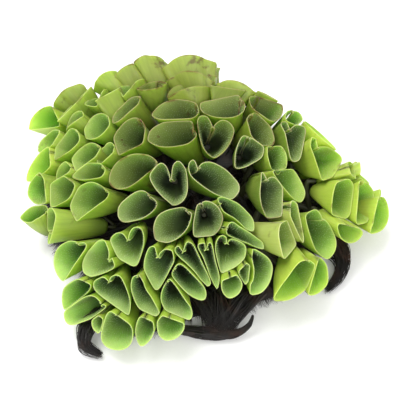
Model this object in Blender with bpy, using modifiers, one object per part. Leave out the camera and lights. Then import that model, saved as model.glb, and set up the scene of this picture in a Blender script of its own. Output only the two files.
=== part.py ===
# A clump of cup-leaved salvinia standing on its mat of root-like leaves.
# X runs to the right of the photograph, Y away from the camera, Z up. The origin is on the floor
# under the middle of the clump. Lengths are in millimetres until a mesh is made.

import bmesh
import bpy
import math
import numpy as np

MM = 0.001

# The middle of the clump's plan, measured from the point that the camera is aimed over
PLAN_MIDDLE = np.array((1.1, 3.87, 0.0))

# The camera that took the photograph, as read from it
PHOTO_MIDDLE = 200.0
PHOTO_ELEVATION = math.radians(50)
PHOTO_DISTANCE = 345.0
PHOTO_SPREAD_PER_PIXEL = 0.001125
AIM = np.array((-1.0, -2.0, 16.0))

# The dome that the mouths of the leaves lie on
DOME_TOP = 37.0
DOME_MIDDLE_Y = 8.0
DOME_FALL = 0.0046
DOME_FALL_BEHIND = 0.0022
DOME_LOWEST = 9.5

# A leaf: a heart-shaped blade folded into a horn
LEAF_THICKNESS = 0.7
HORN_SHORTEST = 6.0
HORN_PER_SIZE = 0.85
HORN_SIZE_LIMIT = 18.0
HEEL_SHARE = 0.30
# Neighbours press on one another, so the free mouths are a little larger than the pressed ones
FREE_WIDTH = 1.16
FREE_LENGTH = 1.08
PETIOLE_RADIUS = 1.7
PETIOLE_OPENING = math.radians(155)
HORN_RINGS = (0.0, 0.3, 1.0)
HORN_SWELL = 0.26
BOW_SHARE = 0.05
# The mouth from its tip round one lobe to the notch, in half lengths and half widths
MOUTH_SIDE = ((1.0, 0.0), (0.74, 0.48), (0.15, 0.96), (-0.55, 0.93), (-0.98, 0.48), (-0.66, 0.12))

# The room between neighbours
GAP = 0.3
SHELL_ROOM = 0.5
RIM_ALLOWANCE = 0.5
# The mouth keeps more room to its neighbours than the base does
MOUTH_ROOM = 2.08
SETTLING_STEPS = 60
SETTLING_PACE = 0.6
SPINE_SHARE = 0.8
BASE_SHARE = 0.25
CLOSEST_MOUTHS = 1.0
LEAST_TILTED = 0.5
BASE_ROOM = 1.3
NEIGHBOUR_REACH = 34.0
LOWEST_LEAF = 3.2
TUBE_REACH = 16.0
AXIS_STEPS = 10

# Young leaves, still closed, grown together with their stem
BUD_SIDES = 7
BUD_RADIUS = 1.4

# The stems under the leaves, as points in plan and a drop below the dome
STEM_RADIUS = 1.9
STEM_SIDES = 6
BRANCH_SHARE = 0.88
STEM_TAPER = 0.25
END_MARGIN = 0.15
STEM_DROP = 23.0
STEM_LOWEST = 6.6
STEM_PATHS = {
    "stem_front": (
        ((-4, -8), (-12, -24), (-19, -38), (-24, -50)),
        ((-14, -28), (-24, -31), (-34, -32)),
    ),
    "stem_middle": (((3, -9), (4, -20), (5, -31), (7, -41)),),
    "stem_corner": (((8, -8), (18, -17), (28, -25), (36, -33)),),
    "stem_right": (
        ((6, 2), (22, 4), (40, 2), (54, -4)),
        ((24, 4), (34, 14), (42, 24)),
        ((15, 3), (19, 22), (22, 36)),
    ),
    "stem_back": (
        ((2, 8), (0, 24), (-4, 38), (-10, 50)),
        ((0, 26), (-18, 34), (-34, 42)),
    ),
    "stem_left": (
        ((-6, 2), (-22, 8), (-38, 16), (-50, 24)),
        ((-18, 6), (-34, 0), (-50, -7)),
    ),
}

# Bundles of root-like leaves that trail out of the mat: points and radii along each
TASSELS = {
    "root_tassel_right": (
        ((41, -8, 8.0), 2.6), ((48.5, -14, 7.6), 4.0), ((53.5, -21, 5.4), 4.4),
        ((52, -28.5, 3.4), 2.9), ((47, -34.5, 1.9), 1.4),
    ),
    "root_tassel_front": (
        ((-9, -52.5, 3.4), 1.4), ((1, -54, 2.9), 2.1), ((10.5, -54.5, 2.9), 2.1),
        ((16.5, -52, 4.8), 1.3), ((18, -50, 8.0), 0.6),
    ),
    "root_tuft_left": (
        ((-38, -47, 5.4), 2.4), ((-42, -53, 4.8), 3.4), ((-42, -59.5, 3.8), 3.2),
        ((-36.5, -62.5, 2.0), 1.4),
    ),
}
TASSEL_SIDES = 8

# The mat of root-like leaves, its edge in plan
MAT_EDGE = (
    (50, -10), (58, 2), (55, 18), (44, 32), (26, 42), (6, 50), (-16, 55), (-38, 52),
    (-54, 40), (-62, 24), (-65, 6), (-60, -10), (-50, -22), (-44, -36), (-38, -45),
    (-31, -52), (-18, -54), (-2, -47), (14, -43), (28, -38), (37, -31), (43.5, -21),
)
MAT_RINGS = (0.14, 0.28, 0.42, 0.56, 0.70, 0.84, 0.95)
MAT_EDGE_HEIGHT = 1.5
MAT_LEAST = 1.7
MAT_MOST = 17.0
MAT_REACH = 12.5
MAT_CLEARANCE = 0.4
SAMPLE_STEP = 2.5

# Leaves: middle of the mouth in the photograph, bearing of its tip there (clockwise from the
# right), width and length of the mouth, lean from upright and compass direction of the lean
LEAVES = {
    "front_leaf_1": (68, 260, 115, 11.0, 15.5, 45, -140),
    "front_leaf_2": (97, 260, 140, 11.5, 15.0, 45, -128),
    "front_leaf_3": (128, 247, 60, 12.5, 14.5, 40, -118),
    "front_leaf_4": (75, 293, 122, 9.0, 14.0, 50, -118),
    "front_leaf_5": (83, 311, 148, 10.0, 16.0, 62, -110),
    "front_leaf_6": (114, 295, 57, 12.5, 16.5, 58, -115),
    "front_leaf_7": (117, 333, 95, 12.5, 15.5, 60, -112),
    "front_leaf_8": (146, 299, 63, 9.0, 15.5, 55, -110),
    "front_leaf_9": (158, 267, 100, 11.5, 15.5, 45, -108),
    "front_leaf_10": (169, 328, 110, 10.5, 12.0, 62, -100),
    "front_leaf_11": (175, 302, 55, 9.5, 15.5, 55, -105),
    "front_leaf_12": (189, 283, 47, 8.0, 15.0, 50, -100),
    "front_leaf_13": (193, 264, 52, 8.0, 16.0, 45, -97),
    "front_leaf_14": (230, 255, 103, 12.0, 13.5, 40, -80),
    "front_leaf_15": (259, 273, 100, 9.0, 15.0, 47, -62),
    "middle_leaf_1": (170, 184, 80, 14.5, 17.5, 22, -95),
    "middle_leaf_2": (171, 225, 120, 12.0, 16.0, 30, -112),
    "middle_leaf_3": (207, 222, 120, 10.5, 13.5, 32, -88),
    "middle_leaf_4": (214, 180, 38, 12.0, 19.0, 20, -60),
    "middle_leaf_5": (214, 138, 92, 14.5, 18.0, 14, -50),
    "middle_leaf_6": (248, 152, 130, 11.5, 15.5, 22, -40),
    "middle_leaf_7": (262, 132, 65, 11.0, 16.0, 25, -5),
    "middle_leaf_8": (171, 132, 172, 14.0, 19.0, 10, -180),
    "middle_leaf_9": (176, 110, 172, 13.5, 18.5, 15, 115),
    "middle_leaf_10": (221, 105, 177, 14.0, 17.0, 12, 90),
    "middle_leaf_11": (266, 108, 90, 13.0, 15.0, 25, 35),
    "left_leaf_1": (64, 144, 137, 12.0, 16.0, 35, 178),
    "left_leaf_2": (75, 103, 123, 12.0, 20.0, 52, 150),
    "left_leaf_3": (110, 93, 133, 12.0, 16.5, 48, 130),
    "left_leaf_4": (86, 157, 136, 11.0, 15.5, 30, -180),
    "left_leaf_5": (128, 137, 124, 12.0, 17.0, 22, -175),
    "left_leaf_6": (130, 170, 150, 13.0, 19.0, 22, -155),
    "left_leaf_7": (135, 207, 150, 10.5, 14.5, 30, -120),
    "left_leaf_8": (86, 199, 130, 12.0, 16.5, 32, -150),
    "left_leaf_9": (59, 191, 136, 10.5, 14.0, 38, -162),
    "left_leaf_10": (38, 191, 53, 9.0, 14.0, 52, -160),
    "left_leaf_11": (46, 122, 125, 11.0, 15.0, 62, 165),
    "left_leaf_12": (66, 90, 130, 11.0, 15.0, 64, 145),
    "back_leaf_1": (149, 60, 175, 12.0, 15.0, 60, 100),
    "back_leaf_2": (195, 64, 175, 14.0, 19.0, 58, 88),
    "back_leaf_3": (240, 86, 10, 11.0, 15.0, 54, 66),
    "right_leaf_1": (329, 165, 101, 11.5, 15.0, 35, -22),
    "right_leaf_2": (344, 201, 105, 9.0, 16.0, 48, -32),
    "right_leaf_3": (365, 205, 105, 9.5, 16.0, 52, -25),
    "right_leaf_4": (381, 213, 112, 9.5, 14.0, 64, -15),
    "corner_leaf_1": (289, 180, 58, 9.5, 16.5, 32, -20),
    "corner_leaf_2": (274, 201, 95, 10.5, 14.5, 35, -48),
    "corner_leaf_3": (287, 240, 93, 8.0, 14.0, 56, -12),
    "corner_leaf_4": (320, 235, 62, 11.5, 16.5, 42, -35),
    "corner_leaf_5": (296, 281, 136, 10.5, 17.0, 60, -63),
}

# Small and half-hidden leaves, each grown together with the stem it is listed under
BUDS = {
    "stem_front": (
        (145, 330, 103, 7.5, 11.5, 60, -110),
        (97, 325, 100, 6.5, 8.0, 66, -125),
    ),
    "stem_middle": (
        (211, 264, 72, 6.0, 15.5, 43, -92),
        (231, 286, 85, 7.5, 8.0, 50, -83),
        (235, 213, 40, 8.0, 16.5, 30, -45),
        (244, 236, 35, 7.5, 15.5, 36, -50),
        (245, 273, 80, 4.5, 7.0, 46, -75),
    ),
    "stem_corner": (
        (297, 225, 85, 6.0, 14.0, 44, -38),
        (317, 277, 115, 9.0, 13.5, 56, -52),
    ),
    "stem_right": (
        (297, 142, 100, 9.0, 15.5, 32, -20),
        (293, 118, 60, 7.0, 9.0, 40, 20),
        (277, 160, 80, 7.0, 13.0, 26, -25),
        (318, 134, 60, 9.0, 15.0, 50, 35),
        (352, 231, 40, 8.0, 11.0, 60, -44),
        (352, 170, 60, 8.0, 12.0, 60, 10),
    ),
    "stem_back": (
        (187, 87, 175, 11.0, 15.0, 38, 95),
        (222, 88, 178, 9.0, 14.0, 46, 80),
        (270, 93, 60, 8.0, 11.0, 50, 48),
        (150, 86, 120, 9.0, 10.0, 35, 110),
        (128, 106, 145, 9.0, 14.0, 32, 150),
        (104, 76, 130, 10.0, 13.0, 64, 125),
    ),
    "stem_left": (
        (49, 139, 126, 10.0, 13.5, 46, 175),
        (97, 127, 130, 9.0, 9.5, 34, 165),
        (72, 121, 140, 7.0, 9.0, 44, 165),
        (104, 154, 135, 6.5, 10.0, 26, -178),
        (62, 172, 140, 6.0, 9.0, 42, -172),
        (89, 174, 170, 9.0, 13.5, 32, -162),
        (29, 217, 115, 8.5, 11.0, 66, -170),
        (48, 218, 128, 8.0, 10.5, 52, -162),
    ),
}

# Leaves behind the clump, out of the camera's sight: middle of the mouth, width and length of
# the mouth, lean from upright and compass direction of the lean
HIDDEN = {
    "stem_back": (
        (-44, 55, 12, 9.0, 13.0, 74, 128),
        (-27, 63, 11, 10.0, 13.0, 74, 108),
        (-8, 62, 12, 10.0, 13.0, 72, 92),
        (10, 60, 13, 10.0, 13.0, 72, 84),
    ),
    "stem_right": (
        (27, 54, 13, 10.0, 13.0, 70, 66),
        (42, 43, 14, 10.0, 13.0, 70, 48),
        (54, 31, 15, 10.0, 13.0, 68, 34),
        (64, 15, 14, 9.0, 12.0, 70, 14),
    ),
    "stem_left": (
        (-60, 40, 9, 9.0, 13.0, 76, 150),
        (-69, 20, 9, 9.0, 12.0, 76, 172),
    ),
}

LEAF_ROUGHNESS = 0.6
ROOT_ROUGHNESS = 0.8
LEAF_GREEN = (0.20, 0.38, 0.05, 1.0)
STEM_GREEN = (0.16, 0.24, 0.05, 1.0)
ROOT_BROWN = (0.02, 0.014, 0.010, 1.0)

FORWARD = np.array((0.0, math.cos(PHOTO_ELEVATION), -math.sin(PHOTO_ELEVATION)))
RIGHTWARD = np.array((1.0, 0.0, 0.0))
UPWARD = np.array((0.0, math.sin(PHOTO_ELEVATION), math.cos(PHOTO_ELEVATION)))
EYE = AIM - FORWARD * PHOTO_DISTANCE
SIGHT_BEFORE = 120.0
SIGHT_BEYOND = 160.0
SIGHT_HALVINGS = 40


def unit(v):
    return v / np.linalg.norm(v)


def dome_height(x, y):
    behind = y - DOME_MIDDLE_Y
    fall = DOME_FALL_BEHIND if behind > 0 else DOME_FALL
    return max(DOME_TOP - DOME_FALL * x * x - fall * behind * behind, DOME_LOWEST)


def sight_line(px, py):
    across = (px - PHOTO_MIDDLE) * PHOTO_SPREAD_PER_PIXEL
    above = (PHOTO_MIDDLE - py) * PHOTO_SPREAD_PER_PIXEL
    return unit(FORWARD + RIGHTWARD * across + UPWARD * above)


def point_on_dome(px, py):
    line = sight_line(px, py)
    near = PHOTO_DISTANCE - SIGHT_BEFORE
    far = PHOTO_DISTANCE + SIGHT_BEYOND
    for _ in range(SIGHT_HALVINGS):
        t = (near + far) / 2
        p = EYE + line * t
        if p[2] > dome_height(p[0], p[1]):
            near = t
        else:
            far = t
    return EYE + line * near


class Horn:
    """The axis, mouth frame and rings of one leaf."""

    def __init__(self, row, base=None, hidden=False):
        if hidden:
            x, y, z, width, length, lean, heading = row
            px, py, bearing = PHOTO_MIDDLE, PHOTO_MIDDLE, -90
        else:
            px, py, bearing, width, length, lean, heading = row
        lean = math.radians(lean)
        heading = math.radians(heading)
        bearing = math.radians(bearing)
        self.width = width * FREE_WIDTH
        self.length = length * FREE_LENGTH
        self.mouth = np.array((x, y, z), float) if hidden else point_on_dome(px, py)
        flat = math.sin(lean)
        self.facing = np.array((flat * math.cos(heading), flat * math.sin(heading), math.cos(lean)))
        in_picture = RIGHTWARD * math.cos(bearing) - UPWARD * math.sin(bearing)
        along = unit(np.cross(self.facing, np.cross(-sight_line(px, py), in_picture)))
        if along @ in_picture < 0:
            along = -along
        self.along = along
        self.across = np.cross(self.facing, along)
        size = min((width + length) / 2, HORN_SIZE_LIMIT)
        depth = HORN_SHORTEST + HORN_PER_SIZE * size
        self.base = self.mouth - self.facing * depth - along * HEEL_SHARE * length
        self.fixed = base is not None
        if self.fixed:
            self.base = base
        self.cell = []

    def reach(self, direction):
        """Half the extent of the mouth in a direction."""
        a = abs(self.along @ direction) * self.length / 2
        b = abs(self.across @ direction) * self.width / 2
        return math.hypot(a, b) + RIM_ALLOWANCE

    def settle(self):
        """Moves the mouth and the base well inside the cell."""
        for _ in range(SETTLING_STEPS):
            for p, n in self.cell:
                short = MOUTH_ROOM - (self.mouth - p) @ n
                if short > 0:
                    self.mouth = self.mouth + n * short * SETTLING_PACE
                short = BASE_ROOM - (self.base - p) @ n
                if short > 0 and not self.fixed:
                    self.base = self.base + n * short * SETTLING_PACE

    def keep_inside(self, centre, point):
        """Draws a point towards its ring's centre until it is inside the cell."""
        t = 1.0
        for p, n in self.cell:
            at_centre = (centre - p) @ n
            at_point = (point - p) @ n
            if at_point < 0:
                t = min(t, max(at_centre, 0.0) / (at_centre - at_point))
        return centre + (point - centre) * t

    def ring(self, v, section):
        """One ring of the horn, at v from the base (0) to the rim (1)."""
        axis = unit(self.mouth - self.base)
        normal = unit(axis * (1 - v) + self.facing * v)
        along = unit(self.along - normal * (self.along @ normal))
        across = np.cross(normal, along)
        bow = math.sin(math.pi * v) * BOW_SHARE * self.length
        centre = self.base + (self.mouth - self.base) * v + self.along * bow
        grown = v ** HORN_SWELL
        points = []
        for (p, q), (small_p, small_q) in section:
            a = small_p * (1 - grown) + p * self.length / 2 * grown
            b = small_q * (1 - grown) + q * self.width / 2 * grown
            points.append(self.keep_inside(centre, centre + along * a + across * b))
        return points


def sheet_section():
    """The open heart section: rim point and petiole point for each column."""
    count = len(MOUTH_SIDE) - 1
    section = []
    for i in range(-count, count + 1):
        p, q = MOUTH_SIDE[abs(i)]
        side = -1 if i < 0 else 1
        angle = PETIOLE_OPENING * i / count
        small = (PETIOLE_RADIUS * math.cos(angle), PETIOLE_RADIUS * math.sin(angle))
        section.append(((p, q * side), small))
    return section


def closed_section():
    """The closed section of a young leaf."""
    section = []
    for i in range(BUD_SIDES):
        angle = 2 * math.pi * i / BUD_SIDES
        unit_circle = (math.cos(angle), math.sin(angle))
        section.append((unit_circle, (BUD_RADIUS * unit_circle[0], BUD_RADIUS * unit_circle[1])))
    return section


def part_neighbours(one, two, inset):
    """Gives two neighbouring horns a plane between them."""
    between = two.mouth - one.mouth
    distance = np.linalg.norm(between)
    if distance > NEIGHBOUR_REACH:
        return
    spine = unit((one.mouth + two.mouth) / 2 - (one.base + two.base) / 2)
    normal = between - spine * (between @ spine) * SPINE_SHARE
    normal = unit(normal + (two.base - one.base) * BASE_SHARE)
    mouth_gap = between @ normal
    if mouth_gap < CLOSEST_MOUTHS:
        return
    share = one.reach(normal) / (one.reach(normal) + two.reach(normal))
    at_mouths = one.mouth + normal * mouth_gap * share
    at_bases = (one.base + two.base) / 2
    if one.fixed and not two.fixed:
        at_bases = one.base + normal * (BASE_ROOM + inset)
    if two.fixed and not one.fixed:
        at_bases = two.base - normal * (BASE_ROOM + inset)
    tilt_line = unit(at_mouths - at_bases)
    tilted = normal - tilt_line * (normal @ tilt_line)
    if np.linalg.norm(tilted) > LEAST_TILTED:
        normal = unit(tilted)
    one.cell.append((at_mouths - normal * inset, -normal))
    two.cell.append((at_mouths + normal * inset, normal))


def stem_lines(name):
    """The middle lines of a stem and its branches, through their plan points."""
    lines = []
    for plan in STEM_PATHS[name]:
        line = []
        for x, y in plan:
            height = max(dome_height(x, y) - STEM_DROP, STEM_LOWEST)
            line.append(np.array((x, y, height), float))
        lines.append(line)
    return lines


def nearest_on_stem(name, point):
    """The nearest place of a stem or its branches to a point."""
    best = None
    for line in stem_lines(name):
        place = nearest_on_path(line, point, END_MARGIN)
        if best is None or np.linalg.norm(point - place) < np.linalg.norm(point - best):
            best = place
    return best


def nearest_on_path(path, point, end_share):
    """The nearest place of a line through points to a point, short of each piece's ends."""
    best = None
    for a, b in zip(path[:-1], path[1:]):
        t = min(max((point - a) @ (b - a) / ((b - a) @ (b - a)), end_share), 1 - end_share)
        place = a + (b - a) * t
        if best is None or np.linalg.norm(point - place) < np.linalg.norm(point - best):
            best = place
    return best


def keep_off_tube(horn, path, radius):
    """Gives a horn planes that keep it off a tube."""
    for a, b in zip(path[:-1], path[1:]):
        away = None
        for k in range(AXIS_STEPS + 1):
            on_axis = horn.base + (horn.mouth - horn.base) * k / AXIS_STEPS
            on_tube = nearest_on_path((a, b), on_axis, 0.0)
            if away is None or np.linalg.norm(on_axis - on_tube) < np.linalg.norm(away):
                away = on_axis - on_tube
                place = on_tube
        if np.linalg.norm(away) > TUBE_REACH:
            continue
        normal = unit(away + horn.facing)
        horn.cell.append((place + normal * (radius + GAP + SHELL_ROOM), normal))


def make_collection(name):
    group = bpy.data.collections.new(name)
    bpy.context.scene.collection.children.link(group)
    return group


def make_material(name, colour, roughness):
    material = bpy.data.materials.new(name)
    material.use_nodes = True
    shader = material.node_tree.nodes["Principled BSDF"]
    shader.inputs["Base Color"].default_value = colour
    shader.inputs["Roughness"].default_value = roughness
    return material


def make_object(name, vertices, faces, group, colour, roughness=LEAF_ROUGHNESS):
    mesh = bpy.data.meshes.new(name)
    mesh.from_pydata([tuple((np.asarray(v) - PLAN_MIDDLE) * MM) for v in vertices], [], faces)
    work = bmesh.new()
    work.from_mesh(mesh)
    bmesh.ops.recalc_face_normals(work, faces=work.faces)
    work.to_mesh(mesh)
    work.free()
    for face in mesh.polygons:
        face.use_smooth = True
    thing = bpy.data.objects.new(name, mesh)
    thing.data.materials.append(make_material(name, colour, roughness))
    group.objects.link(thing)
    return thing


def make_leaf(name, horn, group):
    """An open sheet folded into a horn, given its thickness."""
    section = sheet_section()
    columns = len(section)
    vertices = []
    for v in HORN_RINGS:
        vertices += horn.ring(v, section)
    faces = []
    for r in range(len(HORN_RINGS) - 1):
        for c in range(columns - 1):
            a = r * columns + c
            faces.append((a, a + 1, a + 1 + columns, a + columns))
    leaf = make_object(name, vertices, faces, group, LEAF_GREEN)
    shell = leaf.modifiers.new("Thickness", "SOLIDIFY")
    shell.thickness = LEAF_THICKNESS * MM
    shell.offset = 0.0
    return spread(vertices, faces)


def tube(points, radii, sides):
    """A closed tube round a line, with a radius for each of its points."""
    vertices = []
    faces = []
    for i, p in enumerate(points):
        ahead = unit(points[min(i + 1, len(points) - 1)] - points[max(i - 1, 0)])
        side = unit(np.cross(ahead, (0.0, 0.0, 1.0)))
        up = np.cross(side, ahead)
        for k in range(sides):
            angle = 2 * math.pi * (k + 0.5) / sides
            vertices.append(p + (side * math.cos(angle) + up * math.sin(angle)) * radii[i])
    for i in range(len(points) - 1):
        for k in range(sides):
            a = i * sides + k
            b = i * sides + (k + 1) % sides
            faces.append((a, b, b + sides, a + sides))
    faces.append(tuple(range(sides)))
    faces.append(tuple(range((len(points) - 1) * sides, len(points) * sides)))
    return vertices, faces


def make_bud(name, horn, cutters):
    """A closed horn, to be joined to its stem."""
    section = closed_section()
    vertices = []
    faces = []
    for v in HORN_RINGS:
        vertices += horn.ring(v, section)
    for r in range(len(HORN_RINGS) - 1):
        for k in range(BUD_SIDES):
            a = r * BUD_SIDES + k
            b = r * BUD_SIDES + (k + 1) % BUD_SIDES
            faces.append((a, b, b + BUD_SIDES, a + BUD_SIDES))
    faces.append(tuple(range(BUD_SIDES)))
    last = (len(HORN_RINGS) - 1) * BUD_SIDES
    faces.append(tuple(range(last, last + BUD_SIDES)))
    bud = make_object(name, vertices, faces, cutters, LEAF_GREEN)
    return bud, spread(vertices, faces)


def grow_on(stem, piece, label):
    """Joins a piece to its stem."""
    piece.hide_render = True
    piece.display_type = "WIRE"
    joint = stem.modifiers.new(label, "BOOLEAN")
    joint.operation = "UNION"
    joint.solver = "EXACT"
    joint.object = piece


def stem_radii(count, largest):
    """Radii that taper along a stem."""
    return [largest * (1 - STEM_TAPER * i / (count - 1)) for i in range(count)]


def make_stem(name, horns, group, cutters):
    """A stem with its branches and the young leaves grown on it."""
    everything = []
    for i, line in enumerate(stem_lines(name)):
        largest = STEM_RADIUS if i == 0 else STEM_RADIUS * BRANCH_SHARE
        vertices, faces = tube(line, stem_radii(len(line), largest), STEM_SIDES)
        everything += spread(vertices, faces)
        if i == 0:
            stem = make_object(name, vertices, faces, group, STEM_GREEN)
        else:
            branch = make_object(f"{name}_branch_{i}", vertices, faces, cutters, STEM_GREEN)
            grow_on(stem, branch, f"Branch {i}")
    for i, horn in enumerate(horns):
        bud, points = make_bud(f"{name}_young_{i + 1}", horn, cutters)
        everything += points
        grow_on(stem, bud, f"Young leaf {i + 1}")
    return everything


def make_tassel(name, group):
    """A trailing bundle of root-like leaves."""
    points = [np.array(p, float) for p, _ in TASSELS[name]]
    radii = [r for _, r in TASSELS[name]]
    vertices, faces = tube(points, radii, TASSEL_SIDES)
    make_object(name, vertices, faces, group, ROOT_BROWN, ROOT_ROUGHNESS)
    return spread(vertices, faces)


def spread(vertices, faces):
    """Points spread over the faces of a mesh."""
    points = []
    for face in faces:
        for i in range(1, len(face) - 1):
            a, b, c = (vertices[face[k]] for k in (0, i, i + 1))
            longest = max(np.linalg.norm(b - a), np.linalg.norm(c - a), np.linalg.norm(c - b))
            count = int(longest / SAMPLE_STEP) + 1
            for j in range(count + 1):
                for k in range(count + 1 - j):
                    points.append(a + (b - a) * j / count + (c - a) * k / count)
    return points


def clear_height(x, y, low_points):
    """The height under everything near a place in plan."""
    flat = np.hypot(low_points[:, 0] - x, low_points[:, 1] - y)
    near = low_points[flat < MAT_REACH]
    if len(near) == 0:
        return MAT_LEAST
    return float(min(max(near[:, 2].min() - MAT_CLEARANCE, MAT_LEAST), MAT_MOST))


def make_mat(low_points, group):
    """The mat: flat below, its upper side close under the leaves."""
    count = len(MAT_EDGE)
    middle = np.mean(np.array(MAT_EDGE, float), axis=0)
    vertices = []
    faces = []
    for share in MAT_RINGS:
        for x, y in MAT_EDGE:
            px = middle[0] + (x - middle[0]) * share
            py = middle[1] + (y - middle[1]) * share
            vertices.append((px, py, clear_height(px, py, low_points)))
    for x, y in MAT_EDGE:
        vertices.append((x, y, MAT_EDGE_HEIGHT))
    for x, y in MAT_EDGE:
        vertices.append((x, y, 0.0))
    rings = len(MAT_RINGS) + 2
    for r in range(rings - 1):
        for k in range(count):
            a = r * count + k
            b = r * count + (k + 1) % count
            faces.append((a, b, b + count, a + count))
    top = len(vertices)
    vertices.append((middle[0], middle[1], clear_height(middle[0], middle[1], low_points)))
    vertices.append((middle[0], middle[1], 0.0))
    last = (rings - 1) * count
    for k in range(count):
        faces.append((k, (k + 1) % count, top))
        faces.append((last + k, last + (k + 1) % count, top + 1))
    return make_object("root_mat", vertices, faces, group, ROOT_BROWN, ROOT_ROUGHNESS)


def build():
    for thing in list(bpy.data.objects):
        bpy.data.objects.remove(thing, do_unlink=True)
    group = make_collection("salvinia")
    cutters = make_collection("salvinia_shapes")

    horns = {}
    for name, row in LEAVES.items():
        horns[name] = Horn(row)
    buds = {}
    for stem, rows in BUDS.items():
        for i, row in enumerate(rows):
            place = nearest_on_stem(stem, Horn(row).base)
            buds[(stem, i)] = Horn(row, base=place)
        for i, row in enumerate(HIDDEN.get(stem, ())):
            place = nearest_on_stem(stem, Horn(row, hidden=True).base)
            buds[(stem, len(rows) + i)] = Horn(row, base=place, hidden=True)

    everyone = list(horns.items()) + list(buds.items())
    inset = GAP / 2 + SHELL_ROOM
    for i, (first, one) in enumerate(everyone):
        for second, two in everyone[i + 1:]:
            part_neighbours(one, two, inset)
    floor = (np.array((0, 0, LOWEST_LEAF)), np.array((0.0, 0.0, 1.0)))
    for key, horn in everyone:
        horn.cell.append(floor)
        for stem in STEM_PATHS:
            if stem != key[0]:
                for line in stem_lines(stem):
                    keep_off_tube(horn, line, STEM_RADIUS)
        for rows in TASSELS.values():
            path = [np.array(p, float) for p, _ in rows]
            keep_off_tube(horn, path, max(r for _, r in rows))
        horn.settle()

    low_points = []
    for name, horn in horns.items():
        points = make_leaf(name, horn, group)
        low_points += [p - np.array((0, 0, SHELL_ROOM)) for p in points]
    for stem in STEM_PATHS:
        young = [horn for key, horn in buds.items() if key[0] == stem]
        low_points += make_stem(stem, young, group, cutters)
    for name in TASSELS:
        low_points += make_tassel(name, group)
    make_mat(np.array(low_points), group)


build()
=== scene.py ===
"""Dresses the salvinia clump: folded leaves, stems, root-like leaves and a plain stage."""

import math

import bmesh
import bpy
import numpy as np
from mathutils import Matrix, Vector
from mathutils.bvhtree import BVHTree


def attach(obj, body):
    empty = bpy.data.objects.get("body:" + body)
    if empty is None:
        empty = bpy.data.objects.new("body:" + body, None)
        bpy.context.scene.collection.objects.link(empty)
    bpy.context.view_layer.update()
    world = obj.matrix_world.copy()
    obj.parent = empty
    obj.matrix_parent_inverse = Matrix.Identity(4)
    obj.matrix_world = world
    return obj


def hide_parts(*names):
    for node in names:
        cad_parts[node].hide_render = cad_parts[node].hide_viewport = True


bl_info = {
    "name": "Salvinia clump",
    "version": (1, 0, 0),
    "blender": (4, 5, 0),
    "location": "3D View > Sidebar > Salvinia",
    "description": "Builds a clump of cup-leaved salvinia on its mat of root-like leaves",
    "category": "Add Mesh",
}

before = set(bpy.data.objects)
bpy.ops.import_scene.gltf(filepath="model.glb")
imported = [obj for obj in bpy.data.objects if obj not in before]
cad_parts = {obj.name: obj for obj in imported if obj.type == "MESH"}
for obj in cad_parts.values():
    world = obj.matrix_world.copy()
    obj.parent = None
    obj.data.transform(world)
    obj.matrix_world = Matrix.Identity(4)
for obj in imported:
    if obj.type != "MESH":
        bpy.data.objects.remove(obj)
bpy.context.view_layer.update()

MM = 0.001
BODY = "root"
# The names of what a blade's points carry, of its flat sheet and of a guide's bundle radii
PLACE_MAP = "blade_place"
SHEET_MAP = "blade_sheet"
BUNDLE_MAP = "bundle"

# Places are worked out in millimetres, and this one of them lies at the frame's origin
PLAN_MIDDLE = np.array((1.1, 3.87, 0.0))

# The photograph's camera and the point that it is aimed at
PHOTO_MIDDLE = 200.0
PHOTO_ELEVATION = math.radians(50)
PHOTO_DISTANCE = 345.0
LENS = 80.0
SENSOR = 36.0
PICTURE_WIDTH = 400
SPREAD_PER_PIXEL = SENSOR / LENS / PICTURE_WIDTH
AIM = np.array((-1.0, -2.0, 16.0))
RIGHTWARD = np.array((1.0, 0.0, 0.0))
FORWARD = np.array((0.0, math.cos(PHOTO_ELEVATION), -math.sin(PHOTO_ELEVATION)))
UPWARD = np.array((0.0, math.sin(PHOTO_ELEVATION), math.cos(PHOTO_ELEVATION)))
EYE = AIM - FORWARD * PHOTO_DISTANCE
# A line of sight is searched for the dome from this far before the aim to this far beyond it
SIGHT_BEFORE = 120.0
SIGHT_BEYOND = 160.0
SIGHT_HALVINGS = 40
# Points that a smooth line gets between two given ones
SPAN_STEPS = 24

# The dome that the mouths of the leaves lie on
DOME_TOP = 37.0
DOME_MIDDLE_Y = 8.0
DOME_FALL = 0.0046
DOME_FALL_BEHIND = 0.0022
DOME_LOWEST = 9.5

# A leaf: a heart-shaped blade folded into a horn
HORN_SHORTEST = 6.0
HORN_PER_SIZE = 0.85
HORN_SIZE_LIMIT = 18.0
HEEL_SHARE = 0.45
PETIOLE_RADIUS = 1.6
PETIOLE_OPENING = math.radians(160)
SWELL = 0.5
# The wall under the tip slopes more gently than the others
TIP_SWELL = 0.3
BOW_SHARE = 0.05
# The wall draws in by a share of its width and opens again over the last fifth below the rim
FLARE = 0.05
FLARE_TO = 0.8
FLARE_CLOSING = 0.2
# The rim rises at the sides and sinks at the tip and the notch
PLAIN_ARCH = 0.3
ARCH_LEVEL = 0.8
# The lobes roll in beside the notch: how far they are rolled, a whole roll's share of the
# mouth's length, where up the wall the roll starts and over how much of it it grows, and the
# roll's points, inwards and sideways
LOBE_CURL = 0.4
ROLL_SHARE = 0.07
ROLL_FROM = 0.45
ROLL_OVER = 0.5
ROLLED_LOBE = ((1.1, 0.15), (1.7, 0.8), (1.2, 1.5))
# How far each cut edge stays from the middle of the notch
CUT_GAP = 0.2
# How squarely the camera has to see the plane that an outline is read on, and the steps in
# which that plane is turned
SMALLEST_SIGHT = 0.34
SIGHT_TURN = 0.05
# The bearing of the tip of a leaf that the camera can't see, in degrees
FAR_BEARING = -90
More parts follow.
